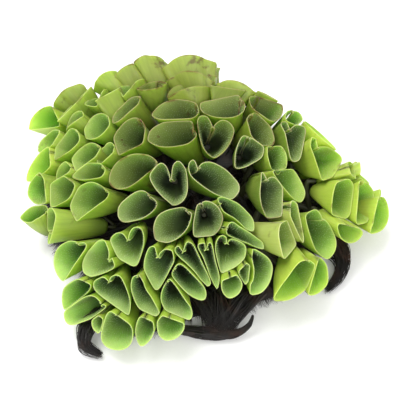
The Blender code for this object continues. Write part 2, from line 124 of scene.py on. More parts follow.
# The mouth from its tip round one lobe to the curled margin, in half lengths and half widths
MOUTH_SIDE = (
    (1.0, 0.0), (0.80, 0.38), (0.42, 0.78), (-0.08, 0.98), (-0.56, 0.93), (-0.90, 0.64),
    (-0.99, 0.30), (-0.90, 0.0),
)

# The mesh of a blade: the points that its rim is picked from, its columns and its rings, which
# crowd towards the petiole, the steps of its round rim, and how much it thins out towards it
RIM_SAMPLES = 480
COLUMNS_PER_SIDE = 28
RINGS = 16
RING_CROWDING = 1.15
RIM_STEPS = 4
RIM_THINNING = 0.6
CUT_ROUNDING = 0.9

# The hairs leave the throat and a narrow margin bare
HAIRS_FROM = 0.45
HAIRLESS_MARGIN = 0.6
WELL_INSIDE = 0.9
# More hairs to a square metre than their spacing leaves room for
HAIR_DENSITY = 4e6
# The radius of a hair's end, in metres
HAIR_TIP = 0.00002
HAIR_SEED = 4

# The room between neighbours, and how softly and how far a leaf is pressed in by them
SHELL_ROOM = 0.25
BASE_ROOM = 1.3
MOUTH_ROOM = 1.5
LEAST_ROOM = 0.02
NEIGHBOUR_REACH = 34.0
LOWEST_LEAF = 2.2
SOFTNESS = 22.0
LEAST_PRESSED = 0.72
SIDE_SAMPLES = 24
SETTLING_STEPS = 60
SETTLING_PACE = 0.6
# The turns, in degrees, that are tried for the plane between two neighbours, what a degree
# costs in room, and how much of a direction has to stay when the plane is tilted to the bases
PARTING_TURNS = range(-70, 71, 10)
TURN_COST = 0.02
LEAST_TILTED = 0.5

# The creeping stems and what hangs from them
STEM_RADIUS = 1.7
STEM_DROP = 23.0
STEM_LOWEST = 6.6
STEM_POINTS = 8
STALK_RADIUS = 1.1
STALK_END = 0.4
STALK_BEND_SHARE = 0.4
STALK_BEND_MOST = 4.0
STALK_POINTS = 12
ROOT_SPACING = 3.5
ROOT_SPREAD = 7.0
ROOTS_PER_NODE = 5
ROOT_BUNDLE = 1.5
HANGING_POINTS = 8
HANGING_BULGE = 0.25
HANGING_SEED = 23
# Middle lines of each stem and its branches, in plan
STEM_PATHS = {
    "stem_front": (
        ((-4, -8), (-12, -24), (-19, -38), (-24, -50)),
        ((-14, -28), (-24, -31), (-34, -32)),
    ),
    "stem_middle": (((3, -9), (4, -20), (5, -31), (7, -41)),),
    "stem_corner": (((8, -8), (18, -17), (28, -25), (36, -33)),),
    "stem_right": (
        ((6, 2), (22, 4), (40, 2), (54, -4)),
        ((24, 4), (34, 14), (42, 24)),
        ((15, 3), (19, 22), (22, 36)),
    ),
    "stem_back": (
        ((2, 8), (0, 24), (-4, 38), (-10, 50)),
        ((0, 26), (-18, 34), (-34, 42)),
    ),
    "stem_left": (
        ((-6, 2), (-22, 8), (-38, 16), (-50, 24)),
        ((-18, 6), (-34, 0), (-50, -7)),
    ),
}

# Strands of root-like leaves: a stem or stalk is one strand on its own guide
NO_BUNDLE = 0.001
FIBRE_SIDES = 3
LOWEST_FIBRE = 0.02
TAPER_FROM = 0.35
GIRTH_SEED = 7

# Trailing bundles: points of the middle line with the bundle's radius there
TASSEL_POINTS = 24
TASSEL_SHARE = 0.8
TASSELS = {
    "root_tassel_right": (
        ((41, -8, 8.0), 2.6), ((48.5, -14, 7.6), 4.0), ((53.5, -21, 5.4), 4.4),
        ((52, -28.5, 3.4), 2.9), ((47, -34.5, 1.9), 1.4),
    ),
    "root_tassel_front": (
        ((-9, -52.5, 3.4), 1.4), ((1, -54, 2.9), 2.1), ((10.5, -54.5, 2.9), 2.1),
        ((16.5, -52, 4.8), 1.3), ((18, -50, 8.0), 0.6),
    ),
    "root_tuft_left": (
        ((-38, -47, 5.4), 2.4), ((-42, -53, 4.8), 3.4), ((-42, -59.5, 3.8), 3.2),
        ((-36.5, -62.5, 2.0), 1.4),
    ),
}

# The mat: its body, sunk under the top of its solid and more so near the edge, then the strands
# that lie on it, hang over its edge and gather at the front, and last its edge in plan
MAT_TOP = 5.0
MAT_COLUMNS = 110
MAT_RINGS = 26
MAT_LOOKOUT = 60.0
MAT_BUNDLE = 1.1
MAT_SEED = 11
BODY_SHARE = 0.95
BODY_SUNK = 0.9
BODY_LOWEST = 0.6
EDGE_SUNK = 2.2
SINKS_FROM = 0.86
SINKS_OVER = 0.09
LUMP_HEIGHT = 0.5
LYING = 150
LYING_POINTS = 14
LYING_STARTS = (0.25, 0.8)
LYING_SWAY = 6
LYING_JITTER = 0.4
FRINGE = 260
FRINGE_POINTS = 8
FRINGE_JITTER = 0.5
FRINGE_LEAN = 2.5
GATHERED = 46
GATHERED_POINTS = 10
GATHERED_FROM = ((-4, 24), (-43, -39), (5, 10))
GATHERED_TO = ((1, 12), (-54.5, -52.5), (2, 4))
MAT_EDGE = (
    (50, -10), (58, 2), (55, 18), (44, 32), (26, 42), (6, 50), (-16, 55), (-38, 52),
    (-54, 40), (-62, 24), (-65, 6), (-60, -10), (-50, -22), (-44, -36), (-38, -45),
    (-31, -52), (-18, -54), (-2, -47), (14, -43), (28, -38), (37, -31), (43.5, -21),
)

# Plant wax, and the depth of every fine relief, in metres
WAX_IOR = 1.42
RELIEF_DEPTH = 0.0003

# The stage, in metres
FLOOR_REACH = 2
LIGHT_SIZE = 0.5
KEY_PLACE = (-0.22, 0.18, 0.62)
FRONT_PLACE = (0.10, -0.60, 0.45)
LIT_POINT = Vector((0, 0, 0.015))

# Leaves: middle of the mouth in the photograph, bearing of its tip there (clockwise from the
# right), width and length of the mouth, lean from upright, direction of the lean in plan
# (counterclockwise from the right), blade and, for a few, how it differs from the plain shape
LEAVES = {
    "front_leaf_1": (68, 260, 115, 11.0, 15.5, 42, -140, "spring"),
    "front_leaf_2": (97, 260, 140, 11.5, 15.0, 42, -128, "spring"),
    "front_leaf_3": (128, 247, 60, 12.5, 14.5, 40, -118, "spring"),
    "front_leaf_4": (75, 293, 122, 9.0, 14.0, 43, -118, "spring"),
    "front_leaf_5": (83, 311, 148, 10.0, 16.0, 47, -110, "spring"),
    "front_leaf_6": (114, 295, 57, 12.5, 16.5, 45, -115, "deep"),
    "front_leaf_7": (117, 333, 95, 12.5, 15.5, 46, -112, "spring"),
    "front_leaf_8": (146, 299, 63, 9.0, 15.5, 44, -110, "deep"),
    "front_leaf_9": (158, 267, 100, 11.5, 15.5, 42, -108, "deep"),
    "front_leaf_10": (169, 328, 110, 10.5, 12.0, 47, -100, "spring"),
    "front_leaf_11": (175, 302, 55, 9.5, 15.5, 44, -105, "deep"),
    "front_leaf_12": (189, 283, 47, 8.0, 15.0, 43, -100, "deep"),
    "front_leaf_13": (193, 264, 52, 8.0, 16.0, 42, -97, "deep"),
    "front_leaf_14": (230, 255, 103, 12.0, 13.5, 40, -80, "spring"),
    "front_leaf_15": (259, 273, 100, 9.0, 15.0, 42, -62, "spring"),
    "middle_leaf_1": (170, 184, 80, 14.5, 17.5, 22, -95, "moss"),
    "middle_leaf_2": (171, 225, 120, 12.0, 16.0, 30, -112, "moss"),
    "middle_leaf_3": (207, 222, 120, 10.5, 13.5, 32, -88, "moss"),
    "middle_leaf_4": (214, 180, 38, 12.0, 19.0, 20, -60, "moss"),
    "middle_leaf_5": (214, 138, 92, 14.5, 18.0, 14, -50, "olive"),
    "middle_leaf_6": (248, 152, 130, 11.5, 15.5, 22, -40, "moss"),
    "middle_leaf_7": (262, 132, 65, 11.0, 16.0, 25, -5, "olive"),
    "middle_leaf_8": (171, 132, 172, 14.0, 19.0, 10, -180, "olive"),
    "middle_leaf_9": (176, 110, 172, 13.5, 18.5, 15, 115, "olive"),
    "middle_leaf_10": (221, 105, 177, 14.0, 17.0, 12, 90, "olive"),
    "middle_leaf_11": (266, 108, 90, 13.0, 15.0, 25, 35, "olive"),
    "left_leaf_1": (64, 144, 137, 12.0, 16.0, 35, 178, "lime"),
    "left_leaf_2": (75, 103, 123, 12.0, 20.0, 52, 150, "lime"),
    "left_leaf_3": (110, 93, 133, 12.0, 16.5, 48, 130, "lime"),
    "left_leaf_4": (86, 157, 136, 11.0, 15.5, 30, -180, "lime"),
    "left_leaf_5": (128, 137, 124, 12.0, 17.0, 22, -175, "olive"),
    "left_leaf_6": (130, 170, 150, 13.0, 19.0, 22, -155, "olive"),
    "left_leaf_7": (135, 207, 150, 10.5, 14.5, 30, -120, "moss"),
    "left_leaf_8": (86, 199, 130, 12.0, 16.5, 32, -150, "lime"),
    "left_leaf_9": (59, 191, 136, 10.5, 14.0, 38, -162, "lime"),
    "left_leaf_10": (38, 191, 53, 9.0, 14.0, 52, -160, "lime"),
    "left_leaf_11": (44, 124, 122, 14.0, 16.0, 36, -165, "glow"),
    "left_leaf_12": (66, 94, 135, 14.0, 17.0, 60, 140, "yellow", (("arch", 0.35),)),
    "back_leaf_1": (146, 63, 175, 13.0, 18.0, 62, 100, "yellow", (("arch", 0.4),)),
    "back_leaf_2": (186, 63, 175, 14.0, 24.0, 64, 90, "yellow", (("arch", 0.4),)),
    "back_leaf_3": (238, 85, 6, 11.0, 17.0, 58, 78, "yellow", (("arch", 0.3),)),
    "right_leaf_1": (329, 165, 101, 11.5, 15.0, 35, -22, "glow"),
    "right_leaf_2": (344, 201, 105, 9.0, 16.0, 48, -32, "glow"),
    "right_leaf_3": (365, 205, 105, 9.5, 16.0, 52, -25, "glow"),
    "right_leaf_4": (380, 213, 105, 10.5, 17.0, 60, -18, "glow", (("arch", 0.2),)),
    "corner_leaf_1": (289, 180, 58, 9.5, 16.5, 32, -20, "lime"),
    "corner_leaf_2": (274, 201, 95, 10.5, 14.5, 35, -48, "moss"),
    "corner_leaf_3": (287, 240, 93, 8.0, 14.0, 56, -12, "pale"),
    "corner_leaf_4": (320, 235, 62, 11.5, 16.5, 42, -35, "lime"),
    "corner_leaf_5": (296, 281, 136, 10.5, 17.0, 60, -63, "glow"),
}

# Small and half-hidden leaves, by the stem that they grow on
YOUNG = {
    "stem_front": (
        (145, 330, 103, 7.5, 11.5, 46, -105, "spring"),
        (97, 325, 100, 6.5, 8.0, 48, -115, "spring"),
    ),
    "stem_middle": (
        (211, 264, 72, 6.0, 15.5, 43, -92, "deep"),
        (231, 286, 85, 7.5, 8.0, 50, -83, "spring"),
        (235, 213, 40, 8.0, 16.5, 30, -45, "deep"),
        (244, 236, 35, 7.5, 15.5, 36, -50, "deep"),
        (245, 273, 80, 4.5, 7.0, 46, -75, "spring"),
    ),
    "stem_corner": (
        (297, 225, 85, 6.0, 14.0, 44, -38, "pale"),
        (317, 277, 115, 9.0, 13.5, 56, -52, "glow"),
    ),
    "stem_right": (
        (297, 142, 100, 9.0, 15.5, 32, -20, "moss"),
        (293, 118, 60, 7.0, 9.0, 40, 20, "lime"),
        (277, 160, 80, 7.0, 13.0, 26, -25, "lime"),
        (318, 134, 60, 9.0, 15.0, 50, 35, "glow"),
        (352, 231, 40, 8.0, 11.0, 60, -44, "glow"),
        (352, 170, 60, 8.0, 12.0, 60, 10, "glow"),
    ),
    "stem_back": (
        (187, 88, 175, 12.0, 17.0, 38, 95, "yellow", (("arch", 0.35),)),
        (222, 88, 178, 9.0, 14.0, 46, 80, "olive"),
        (266, 96, 60, 8.0, 11.0, 46, 50, "olive"),
        (150, 86, 120, 9.0, 10.0, 35, 110, "yellow"),
        (128, 106, 145, 9.0, 14.0, 32, 150, "olive"),
        (104, 78, 150, 12.0, 15.0, 58, 125, "lime", (("arch", 0.35),)),
        (124, 72, 165, 12.0, 15.0, 56, 112, "yellow", (("arch", 0.4),)),
        (190, 75, 175, 13.0, 21.0, 50, 90, "yellow", (("arch", 0.4),)),
        (128, 86, 150, 11.0, 13.0, 42, 125, "lime", (("arch", 0.3),)),
        (96, 97, 135, 10.0, 13.0, 48, 140, "lime", (("arch", 0.3),)),
    ),
    "stem_left": (
        (49, 139, 126, 10.0, 13.5, 46, 175, "lime"),
        (97, 127, 130, 9.0, 9.5, 34, 165, "lime"),
        (72, 121, 140, 7.0, 9.0, 44, 165, "lime"),
        (104, 154, 135, 6.5, 10.0, 26, -178, "lime"),
        (62, 172, 140, 6.0, 9.0, 42, -172, "lime"),
        (89, 174, 170, 9.0, 13.5, 32, -162, "lime"),
        (33, 214, 170, 7.0, 10.5, 24, 180, "lime", (("deep", 0.9), ("heel", 0.0), ("arch", 0.1))),
        (50, 224, -70, 11.0, 13.0, 74, -168, "lime", (("deep", 1.35), ("heel", 0.1), ("arch", 0.1))),
        (40, 163, 125, 9.0, 16.0, 38, -168, "glow"),
    ),
}

# Leaves out of the camera's sight: middle of the mouth in millimetres, then as above
FAR = {
    "stem_back": (
        (-44, 55, 12, 9.0, 13.0, 74, 128, "lime"),
        (-27, 63, 11, 10.0, 13.0, 74, 108, "lime"),
        (-8, 62, 12, 10.0, 13.0, 72, 92, "yellow"),
        (10, 60, 13, 10.0, 13.0, 72, 84, "olive"),
    ),
    "stem_right": (
        (27, 54, 13, 10.0, 13.0, 70, 66, "olive"),
        (41, 40, 12, 10.0, 13.0, 70, 48, "lime"),
        (51, 26, 12, 10.0, 13.0, 70, 34, "glow"),
        (64, 15, 14, 9.0, 12.0, 70, 14, "glow"),
    ),
    "stem_left": (
        (-60, 40, 9, 9.0, 13.0, 76, 150, "lime"),
    ),
}

# Mouths as they lie in the photograph, read in its pixels: from the tip round one side to the notch
# between the lobes, then the points of the other side between the tip and that notch
OUTLINES = {
    "front_leaf_1": (
        ((63, 281), (57, 274), (54, 264), (55, 254), (60, 246), (70, 241), (78, 243)),
        ((68, 275), (73, 267), (80, 257), (86, 248), (85, 243)),
    ),
    "front_leaf_2": (
        ((86, 277), (83, 270), (83, 262), (86, 254), (92, 247), (98, 241), (104, 240), (108, 243),
         (109, 250), (109, 260)),
        ((95, 276), (106, 273), (113, 269), (115, 263), (113, 258)),
    ),
    "front_leaf_3": (
        ((136, 266), (125, 262), (117, 257), (112, 250), (110, 244), (111, 238), (117, 233),
         (123, 234), (128, 240)),
        ((142, 252), (144, 240), (142, 230), (137, 227), (132, 229), (129, 235)),
    ),
    "front_leaf_4": (
        ((66, 312), (63, 306), (62, 298), (63, 291), (66, 286), (73, 281), (81, 278), (86, 280)),
        ((72, 306), (80, 300), (88, 292), (91, 285)),
    ),
    "front_leaf_5": (
        ((66, 322), (64, 313), (68, 306), (78, 300), (88, 296), (96, 297), (102, 304)),
        ((72, 325), (82, 322), (95, 317), (103, 312), (107, 306)),
    ),
    "front_leaf_6": (
        ((127, 317), (121, 313), (112, 306), (103, 299), (96, 292), (93, 285), (96, 279),
         (103, 277), (109, 281)),
        ((130, 310), (130, 300), (127, 290), (122, 279), (117, 275), (111, 277)),
    ),
    "front_leaf_7": (
        ((118, 350), (109, 348), (103, 343), (101, 335), (102, 325), (106, 315), (111, 311),
         (117, 314)),
        ((126, 348), (131, 343), (133, 335), (132, 328), (128, 322), (122, 316)),
    ),
    "front_leaf_8": (
        ((158, 317), (150, 317), (143, 313), (137, 305), (133, 296), (131, 286), (133, 277),
         (138, 275)),
        ((162, 312), (157, 303), (150, 295), (145, 287), (143, 278), (141, 272)),
    ),
    "front_leaf_9": (
        ((155, 290), (147, 282), (144, 270), (145, 258), (149, 248), (154, 246), (158, 257)),
        ((162, 286), (170, 270), (174, 262), (174, 254), (171, 248), (165, 249), (160, 253)),
    ),
    "front_leaf_10": (
        ((170, 340), (165, 340), (159, 335), (157, 325), (158, 318), (162, 314), (169, 316)),
        ((174, 339), (180, 335), (184, 328), (183, 321), (177, 316)),
    ),
    "front_leaf_11": (
        ((188, 321), (182, 321), (177, 320), (170, 315), (164, 308), (161, 300), (162, 290),
         (166, 281)),
        ((192, 316), (191, 308), (186, 301), (180, 292), (175, 284), (170, 279)),
    ),
    "front_leaf_12": (
        ((203, 300), (195, 298), (186, 292), (177, 283), (172, 275), (173, 269)),
        ((206, 296), (205, 289), (200, 281), (192, 273), (184, 266), (178, 264)),
    ),
    "front_leaf_13": (
        ((208, 287), (203, 283), (195, 272), (185, 262), (177, 256), (174, 250), (178, 246),
         (183, 251)),
        ((211, 280), (206, 270), (201, 260), (197, 251), (193, 244), (187, 242)),
    ),
    "front_leaf_14": (
        ((224, 276), (219, 269), (216, 260), (215, 250), (217, 240), (221, 235), (226, 237),
         (227, 243)),
        ((232, 273), (240, 266), (245, 259), (247, 251), (244, 244), (238, 239), (231, 239)),
    ),
    "front_leaf_15": (
        ((250, 294), (250, 286), (253, 280), (254, 270), (252, 260), (249, 252)),
        ((257, 294), (263, 291), (269, 283), (272, 273), (272, 265), (268, 258), (260, 252),
         (253, 248)),
    ),
    "middle_leaf_1": (
        ((175, 207), (169, 202), (162, 196), (155, 188), (150, 178), (151, 170), (156, 165),
         (162, 163), (167, 168), (171, 179)),
        ((183, 201), (187, 193), (188, 182), (187, 172), (183, 165), (178, 161), (173, 166)),
    ),
    "middle_leaf_2": (
        ((157, 242), (154, 234), (154, 225), (158, 216), (165, 211), (174, 207), (182, 206),
         (188, 211)),
        ((163, 244), (170, 242), (178, 238), (186, 230), (190, 222), (192, 214)),
    ),
    "middle_leaf_3": (
        ((199, 241), (194, 236), (193, 225), (195, 215), (197, 206), (201, 203)),
        ((207, 240), (215, 235), (221, 227), (223, 217), (220, 209), (213, 203), (206, 201)),
    ),
    "middle_leaf_4": (
        ((230, 200), (220, 197), (210, 191), (200, 184), (192, 177), (188, 170), (189, 163),
         (194, 160), (198, 168)),
        ((238, 193), (239, 185), (233, 177), (226, 170), (218, 165), (210, 162), (203, 163)),
    ),
    "middle_leaf_5": (
        ((214, 158), (208, 154), (203, 147), (199, 135), (197, 123), (200, 116), (206, 116),
         (210, 121), (213, 127)),
        ((220, 155), (227, 148), (232, 139), (234, 130), (230, 123), (224, 120), (218, 122)),
    ),
    "middle_leaf_6": (
        ((236, 168), (235, 160), (236, 151), (239, 142), (243, 136), (249, 137)),
        ((245, 167), (253, 163), (261, 158), (265, 151), (262, 143), (255, 138)),
    ),
    "middle_leaf_7": (
        ((268, 150), (260, 146), (252, 137), (249, 127), (247, 119), (251, 114)),
        ((274, 143), (273, 133), (269, 124), (264, 117), (257, 113)),
    ),
    "middle_leaf_8": (
        ((146, 139), (148, 134), (151, 130), (158, 125), (168, 121), (180, 119), (191, 121),
         (194, 130)),
        ((155, 145), (165, 147), (178, 146), (189, 143), (197, 135)),
    ),
    "middle_leaf_9": (
        ((152, 115), (156, 109), (162, 104), (169, 101), (179, 99), (190, 101), (197, 104)),
        ((158, 119), (170, 121), (185, 120), (195, 117), (200, 110)),
    ),
    "middle_leaf_10": (
        ((199, 109), (200, 104), (204, 100), (212, 96), (225, 93), (236, 94), (242, 100)),
        ((208, 115), (220, 118), (234, 117), (243, 112), (245, 105)),
    ),
    "middle_leaf_11": (
        ((276, 121), (268, 121), (260, 115), (254, 110), (250, 103), (250, 97), (257, 95)),
        ((282, 116), (283, 109), (281, 103), (275, 99), (266, 95)),
    ),
    "left_leaf_1": (
        ((49, 161), (50, 153), (53, 146), (60, 136), (70, 129), (77, 130)),
        ((55, 160), (62, 156), (71, 150), (78, 143), (80, 136)),
    ),
    "left_leaf_2": (
        ((60, 128), (58, 121), (60, 113), (64, 105), (71, 95), (80, 87), (91, 81)),
        ((66, 123), (74, 113), (82, 102), (91, 91)),
    ),
    "left_leaf_3": (
        ((94, 110), (96, 103), (98, 98), (104, 90), (112, 83), (118, 80), (125, 81)),
        ((100, 108), (107, 102), (116, 95), (124, 88)),
    ),
    "left_leaf_4": (
        ((71, 172), (70, 165), (73, 157), (80, 149), (90, 143), (98, 145)),
        ((77, 172), (86, 166), (95, 159), (103, 151)),
    ),
    "left_leaf_5": (
        ((115, 157), (112, 151), (112, 144), (116, 133), (125, 122), (133, 118), (140, 119)),
        ((120, 155), (127, 151), (136, 147), (144, 142), (146, 134), (145, 126)),
    ),
    "left_leaf_6": (
        ((111, 186), (109, 180), (109, 174), (113, 167), (120, 160), (130, 155), (140, 154),
         (150, 156), (158, 163)),
        ((118, 189), (126, 188), (134, 184), (142, 178), (149, 172), (156, 168)),
    ),
    "left_leaf_7": (
        ((119, 218), (118, 211), (120, 205), (127, 198), (136, 192), (144, 191), (150, 196)),
        ((124, 222), (133, 221), (143, 218), (152, 212), (157, 205), (155, 200)),
    ),
    "left_leaf_8": (
        ((75, 222), (71, 214), (70, 206), (72, 198), (76, 190), (82, 185), (90, 182), (98, 184),
         (106, 189)),
        ((82, 217), (90, 211), (98, 205), (106, 199), (109, 193)),
    ),
    "left_leaf_9": (
        ((48, 206), (45, 200), (46, 192), (50, 185), (56, 179), (63, 175), (69, 178)),
        ((54, 207), (60, 204), (67, 200), (73, 194), (75, 187), (73, 181)),
    ),
    "left_leaf_10": (
        ((47, 204), (40, 205), (33, 202), (28, 195), (29, 186), (33, 178), (38, 173)),
        ((50, 198), (49, 190), (46, 181), (42, 175)),
    ),
    "left_leaf_11": (
        ((31, 138), (29, 130), (31, 120), (37, 112), (45, 107), (53, 106)),
        ((38, 140), (48, 138), (56, 132), (60, 124), (60, 114)),
    ),
    "right_leaf_1": (
        ((323, 182), (318, 168), (314, 156), (310, 145), (309, 137), (314, 135), (318, 147)),
        ((329, 182), (336, 178), (342, 170), (343, 162), (340, 155), (334, 149), (326, 147)),
    ),
    "right_leaf_2": (
        ((335, 220), (332, 214), (332, 203), (334, 190), (338, 180), (343, 177)),
        ((341, 221), (348, 217), (353, 208), (355, 197), (353, 184), (348, 178)),
    ),
    "right_leaf_3": (
        ((355, 224), (354, 215), (356, 205), (357, 192), (359, 182), (363, 181)),
        ((361, 224), (369, 221), (374, 215), (377, 207), (376, 197), (370, 186)),
    ),
    "corner_leaf_1": (
        ((301, 202), (294, 199), (287, 192), (280, 184), (274, 174), (271, 165)),
        ((305, 193), (301, 182), (295, 172), (287, 164), (278, 161)),
    ),
    "corner_leaf_2": (
        ((268, 219), (264, 212), (261, 203), (260, 192), (261, 182), (262, 172), (267, 179)),
        ((276, 219), (284, 215), (287, 206), (285, 192), (280, 182), (273, 177)),
    ),
    "corner_leaf_3": (
        ((285, 259), (281, 250), (279, 240), (279, 230), (282, 221)),
        ((293, 251), (297, 242), (296, 233), (291, 225), (287, 220)),
    ),
    "corner_leaf_4": (
        ((327, 259), (320, 255), (314, 248), (308, 232), (304, 219), (309, 212), (317, 210),
         (323, 219)),
        ((333, 254), (336, 246), (335, 236), (330, 225)),
    ),
    "corner_leaf_5": (
        ((274, 300), (279, 289), (287, 278), (295, 267), (302, 260), (309, 259)),
        ((288, 300), (298, 295), (307, 288), (314, 278), (316, 267)),
    ),
    "stem_front_young_leaf_1": (
        ((141, 346), (136, 337), (136, 327), (139, 318), (145, 315)),
        ((149, 341), (154, 331), (152, 320)),
    ),
    "stem_front_young_leaf_2": (
        ((98, 333), (93, 328), (92, 321), (95, 316), (99, 316)),
        ((102, 328), (103, 320)),
    ),
    "stem_middle_young_leaf_1": (
        ((217, 289), (213, 285), (208, 270), (203, 257), (198, 247), (200, 241), (204, 241),
         (206, 249)),
        ((220, 281), (219, 274), (216, 264), (214, 254), (213, 244), (210, 239)),
    ),
    "stem_middle_young_leaf_2": (
        ((230, 298), (224, 294), (221, 285), (223, 277), (230, 273)),
        ((238, 294), (242, 286), (240, 277)),
    ),
    "stem_middle_young_leaf_3": (
        ((253, 231), (246, 229), (241, 224), (234, 218), (227, 214), (222, 210), (219, 204)),
        ((254, 225), (252, 218), (245, 210), (236, 202), (226, 197), (218, 198)),
    ),
    "stem_middle_young_leaf_4": (
        ((264, 249), (255, 247), (247, 243), (235, 240), (228, 236), (226, 228)),
        ((264, 244), (258, 239), (250, 233), (240, 227), (232, 222)),
    ),
    "stem_middle_young_leaf_5": (
        ((245, 285), (240, 278), (240, 268), (245, 262)),
        ((251, 277), (252, 268)),
    ),
    "stem_corner_young_leaf_1": (
        ((298, 248), (294, 238), (291, 225), (288, 212), (287, 203)),
        ((303, 240), (303, 225), (299, 210), (293, 202)),
    ),
    "stem_corner_young_leaf_2": (
        ((305, 293), (309, 284), (314, 273), (316, 262), (320, 257)),
        ((313, 295), (321, 291), (327, 284), (328, 275), (326, 264)),
    ),
    "stem_right_young_leaf_1": (
        ((292, 161), (289, 152), (287, 142), (285, 133), (281, 124), (285, 120), (290, 129)),
        ((299, 160), (304, 152), (306, 143), (306, 132), (303, 125), (296, 125)),
    ),
    "stem_right_young_leaf_2": (
        ((290, 125), (285, 119), (286, 112), (293, 110)),
        ((297, 125), (303, 119), (300, 112)),
    ),
    "stem_right_young_leaf_5": (
        ((350, 243), (342, 239), (337, 229), (340, 223), (347, 221)),
        ((358, 240), (363, 232), (359, 224)),
    ),
    "stem_right_young_leaf_4": (
        ((334, 152), (326, 150), (319, 141), (311, 131), (303, 121)),
        ((336, 143), (330, 131), (321, 122), (311, 116)),
    ),
    "stem_right_young_leaf_6": (
        ((360, 179), (350, 178), (344, 175), (343, 167)),
        ((362, 170), (358, 161), (350, 161)),
    ),
    "stem_back_young_leaf_3": (
        ((277, 105), (268, 101), (259, 98), (254, 91)),
        ((278, 98), (271, 91), (262, 88)),
    ),
    "stem_back_young_leaf_2": (
        ((206, 97), (210, 91), (217, 86), (228, 84), (240, 84), (246, 89)),
        ((218, 96), (232, 96), (244, 95)),
    ),
    "stem_back_young_leaf_4": (
        ((140, 93), (136, 87), (140, 81), (148, 77), (157, 76)),
        ((150, 95), (161, 93), (167, 85)),
    ),
    "stem_back_young_leaf_5": (
        ((112, 123), (114, 115), (122, 106), (131, 98), (140, 96)),
        ((119, 121), (128, 113), (138, 104)),
    ),
    "stem_left_young_leaf_1": (
        ((39, 152), (38, 146), (41, 140), (46, 134), (53, 130), (60, 131)),
        ((46, 150), (53, 146), (60, 139)),
    ),
    "stem_left_young_leaf_9": (
        ((27, 181), (28, 172), (33, 162), (40, 153), (48, 146), (54, 146)),
        ((34, 180), (42, 175), (50, 167), (55, 157)),
    ),
    "stem_left_young_leaf_2": (
        ((86, 138), (84, 131), (87, 124), (92, 117), (100, 113), (108, 116)),
        ((93, 139), (100, 136), (106, 130), (110, 123)),
    ),
    "stem_left_young_leaf_6": (
        ((71, 178), (74, 172), (80, 166), (88, 162), (96, 161), (103, 166)),
        ((82, 180), (92, 179), (101, 177), (106, 171)),
    ),
}

# Blades by age, with one shaded copy: colours inside from rim to throat, the throat's dark partly its
# own and partly painted shade in the hollow, of the margin, and outside from rim to base, the base's
# dark partly its own and partly painted shade low between the leaves, then how far the brown of age has
# spread and how high the throat's dark and painted shade reaches
BLADES = {
    "spring": ("#A6C26E", "#8BAA54", "#55703E", "#1B261E", "#B2C67A", "#9AB040", "#5C7822", 0.0, 0.22),
    # The deep blade is the spring blade with a darker inside and its dark reaching higher: painted
    # shade in the horns that are seen deepest
    "deep": ("#9CB868", "#779650", "#3E563A", "#141C1A", "#B2C67A", "#9AB040", "#5C7822", 0.0, 0.36),
    "moss": ("#889A5A", "#718646", "#5C7044", "#28342A", "#B8B58C", "#7C9038", "#4D611E", 0.25, 0.10),
    "olive": ("#7E8E46", "#6E803C", "#5A6E34", "#34422A", "#9C8F68", "#7D8C30", "#565F20", 0.6, 0.08),
    "lime": ("#98B455", "#7DA043", "#638538", "#3E5A2C", "#AEC070", "#97AA42", "#697C30", 0.3, 0.06),
    "yellow": ("#8E9E48", "#7E8F3E", "#6A7C34", "#465626", "#7C6A46", "#8E9843", "#6F782F", 0.75, 0.06),
    "glow": ("#A6C652", "#90B644", "#74A03A", "#4C7A2E", "#B4C86C", "#A8BC48", "#869A36", 0.3, 0.06),
    "pale": ("#A8BE64", "#90AE50", "#7A9A42", "#527032", "#C4CE8C", "#A4B25E", "#868F3C", 0.25, 0.06),
}


def unit(v):
    """A vector made one long."""
    return v / np.linalg.norm(v)


def units(v):
    """Rows of vectors made one long."""
    return v / np.maximum(np.linalg.norm(v, axis=-1, keepdims=True), 1e-9)


def to_metres(points):
    """Working millimetres as the frame's metres."""
    return (np.asarray(points, float) - PLAN_MIDDLE) * MM


def linear(code):
    """An sRGB hex colour as a linear one."""
    values = [int(code[i:i + 2], 16) / 255 for i in (1, 3, 5)]
    return tuple(v / 12.92 if v <= 0.04045 else ((v + 0.055) / 1.055) ** 2.4 for v in values) + (1.0,)


def dome_height(x, y):
    """How high the mouths lie over a place of the plan."""
    behind = y - DOME_MIDDLE_Y
    fall = DOME_FALL_BEHIND if behind > 0 else DOME_FALL
    return max(DOME_TOP - DOME_FALL * x * x - fall * behind * behind, DOME_LOWEST)


def sight_line(px, py):
    """The direction from the camera through a pixel."""
    across = (px - PHOTO_MIDDLE) * SPREAD_PER_PIXEL
    above = (PHOTO_MIDDLE - py) * SPREAD_PER_PIXEL
    return unit(FORWARD + RIGHTWARD * across + UPWARD * above)


def point_on_dome(px, py):
    """Where the line of sight through a pixel meets the dome, found by halving."""
    line = sight_line(px, py)
    near = PHOTO_DISTANCE - SIGHT_BEFORE
    far = PHOTO_DISTANCE + SIGHT_BEYOND
    for _ in range(SIGHT_HALVINGS):
        t = (near + far) / 2
        p = EYE + line * t
        if p[2] > dome_height(p[0], p[1]):
            near = t
        else:
            far = t
    return EYE + line * near


def smooth_line(points, count):
    """Points evenly along a smooth line through the given ones."""
    points = np.asarray(points, float)
    padded = np.vstack((2 * points[0] - points[1], points, 2 * points[-1] - points[-2]))
    fine = []
    for i in range(1, len(padded) - 2):
        a, b, c, d = padded[i - 1:i + 3]
        for t in np.linspace(0, 1, SPAN_STEPS, endpoint=False):
            fine.append(0.5 * (2 * b + (c - a) * t + (2 * a - 5 * b + 4 * c - d) * t * t
                               + (3 * b - a - 3 * c + d) * t ** 3))
    fine = np.array(fine + [points[-1]])
    steps = np.concatenate(([0], np.cumsum(np.linalg.norm(np.diff(fine, axis=0), axis=1))))
    wanted = np.linspace(0, steps[-1], count)
    return np.stack([np.interp(wanted, steps, fine[:, k]) for k in range(fine.shape[1])], axis=1)


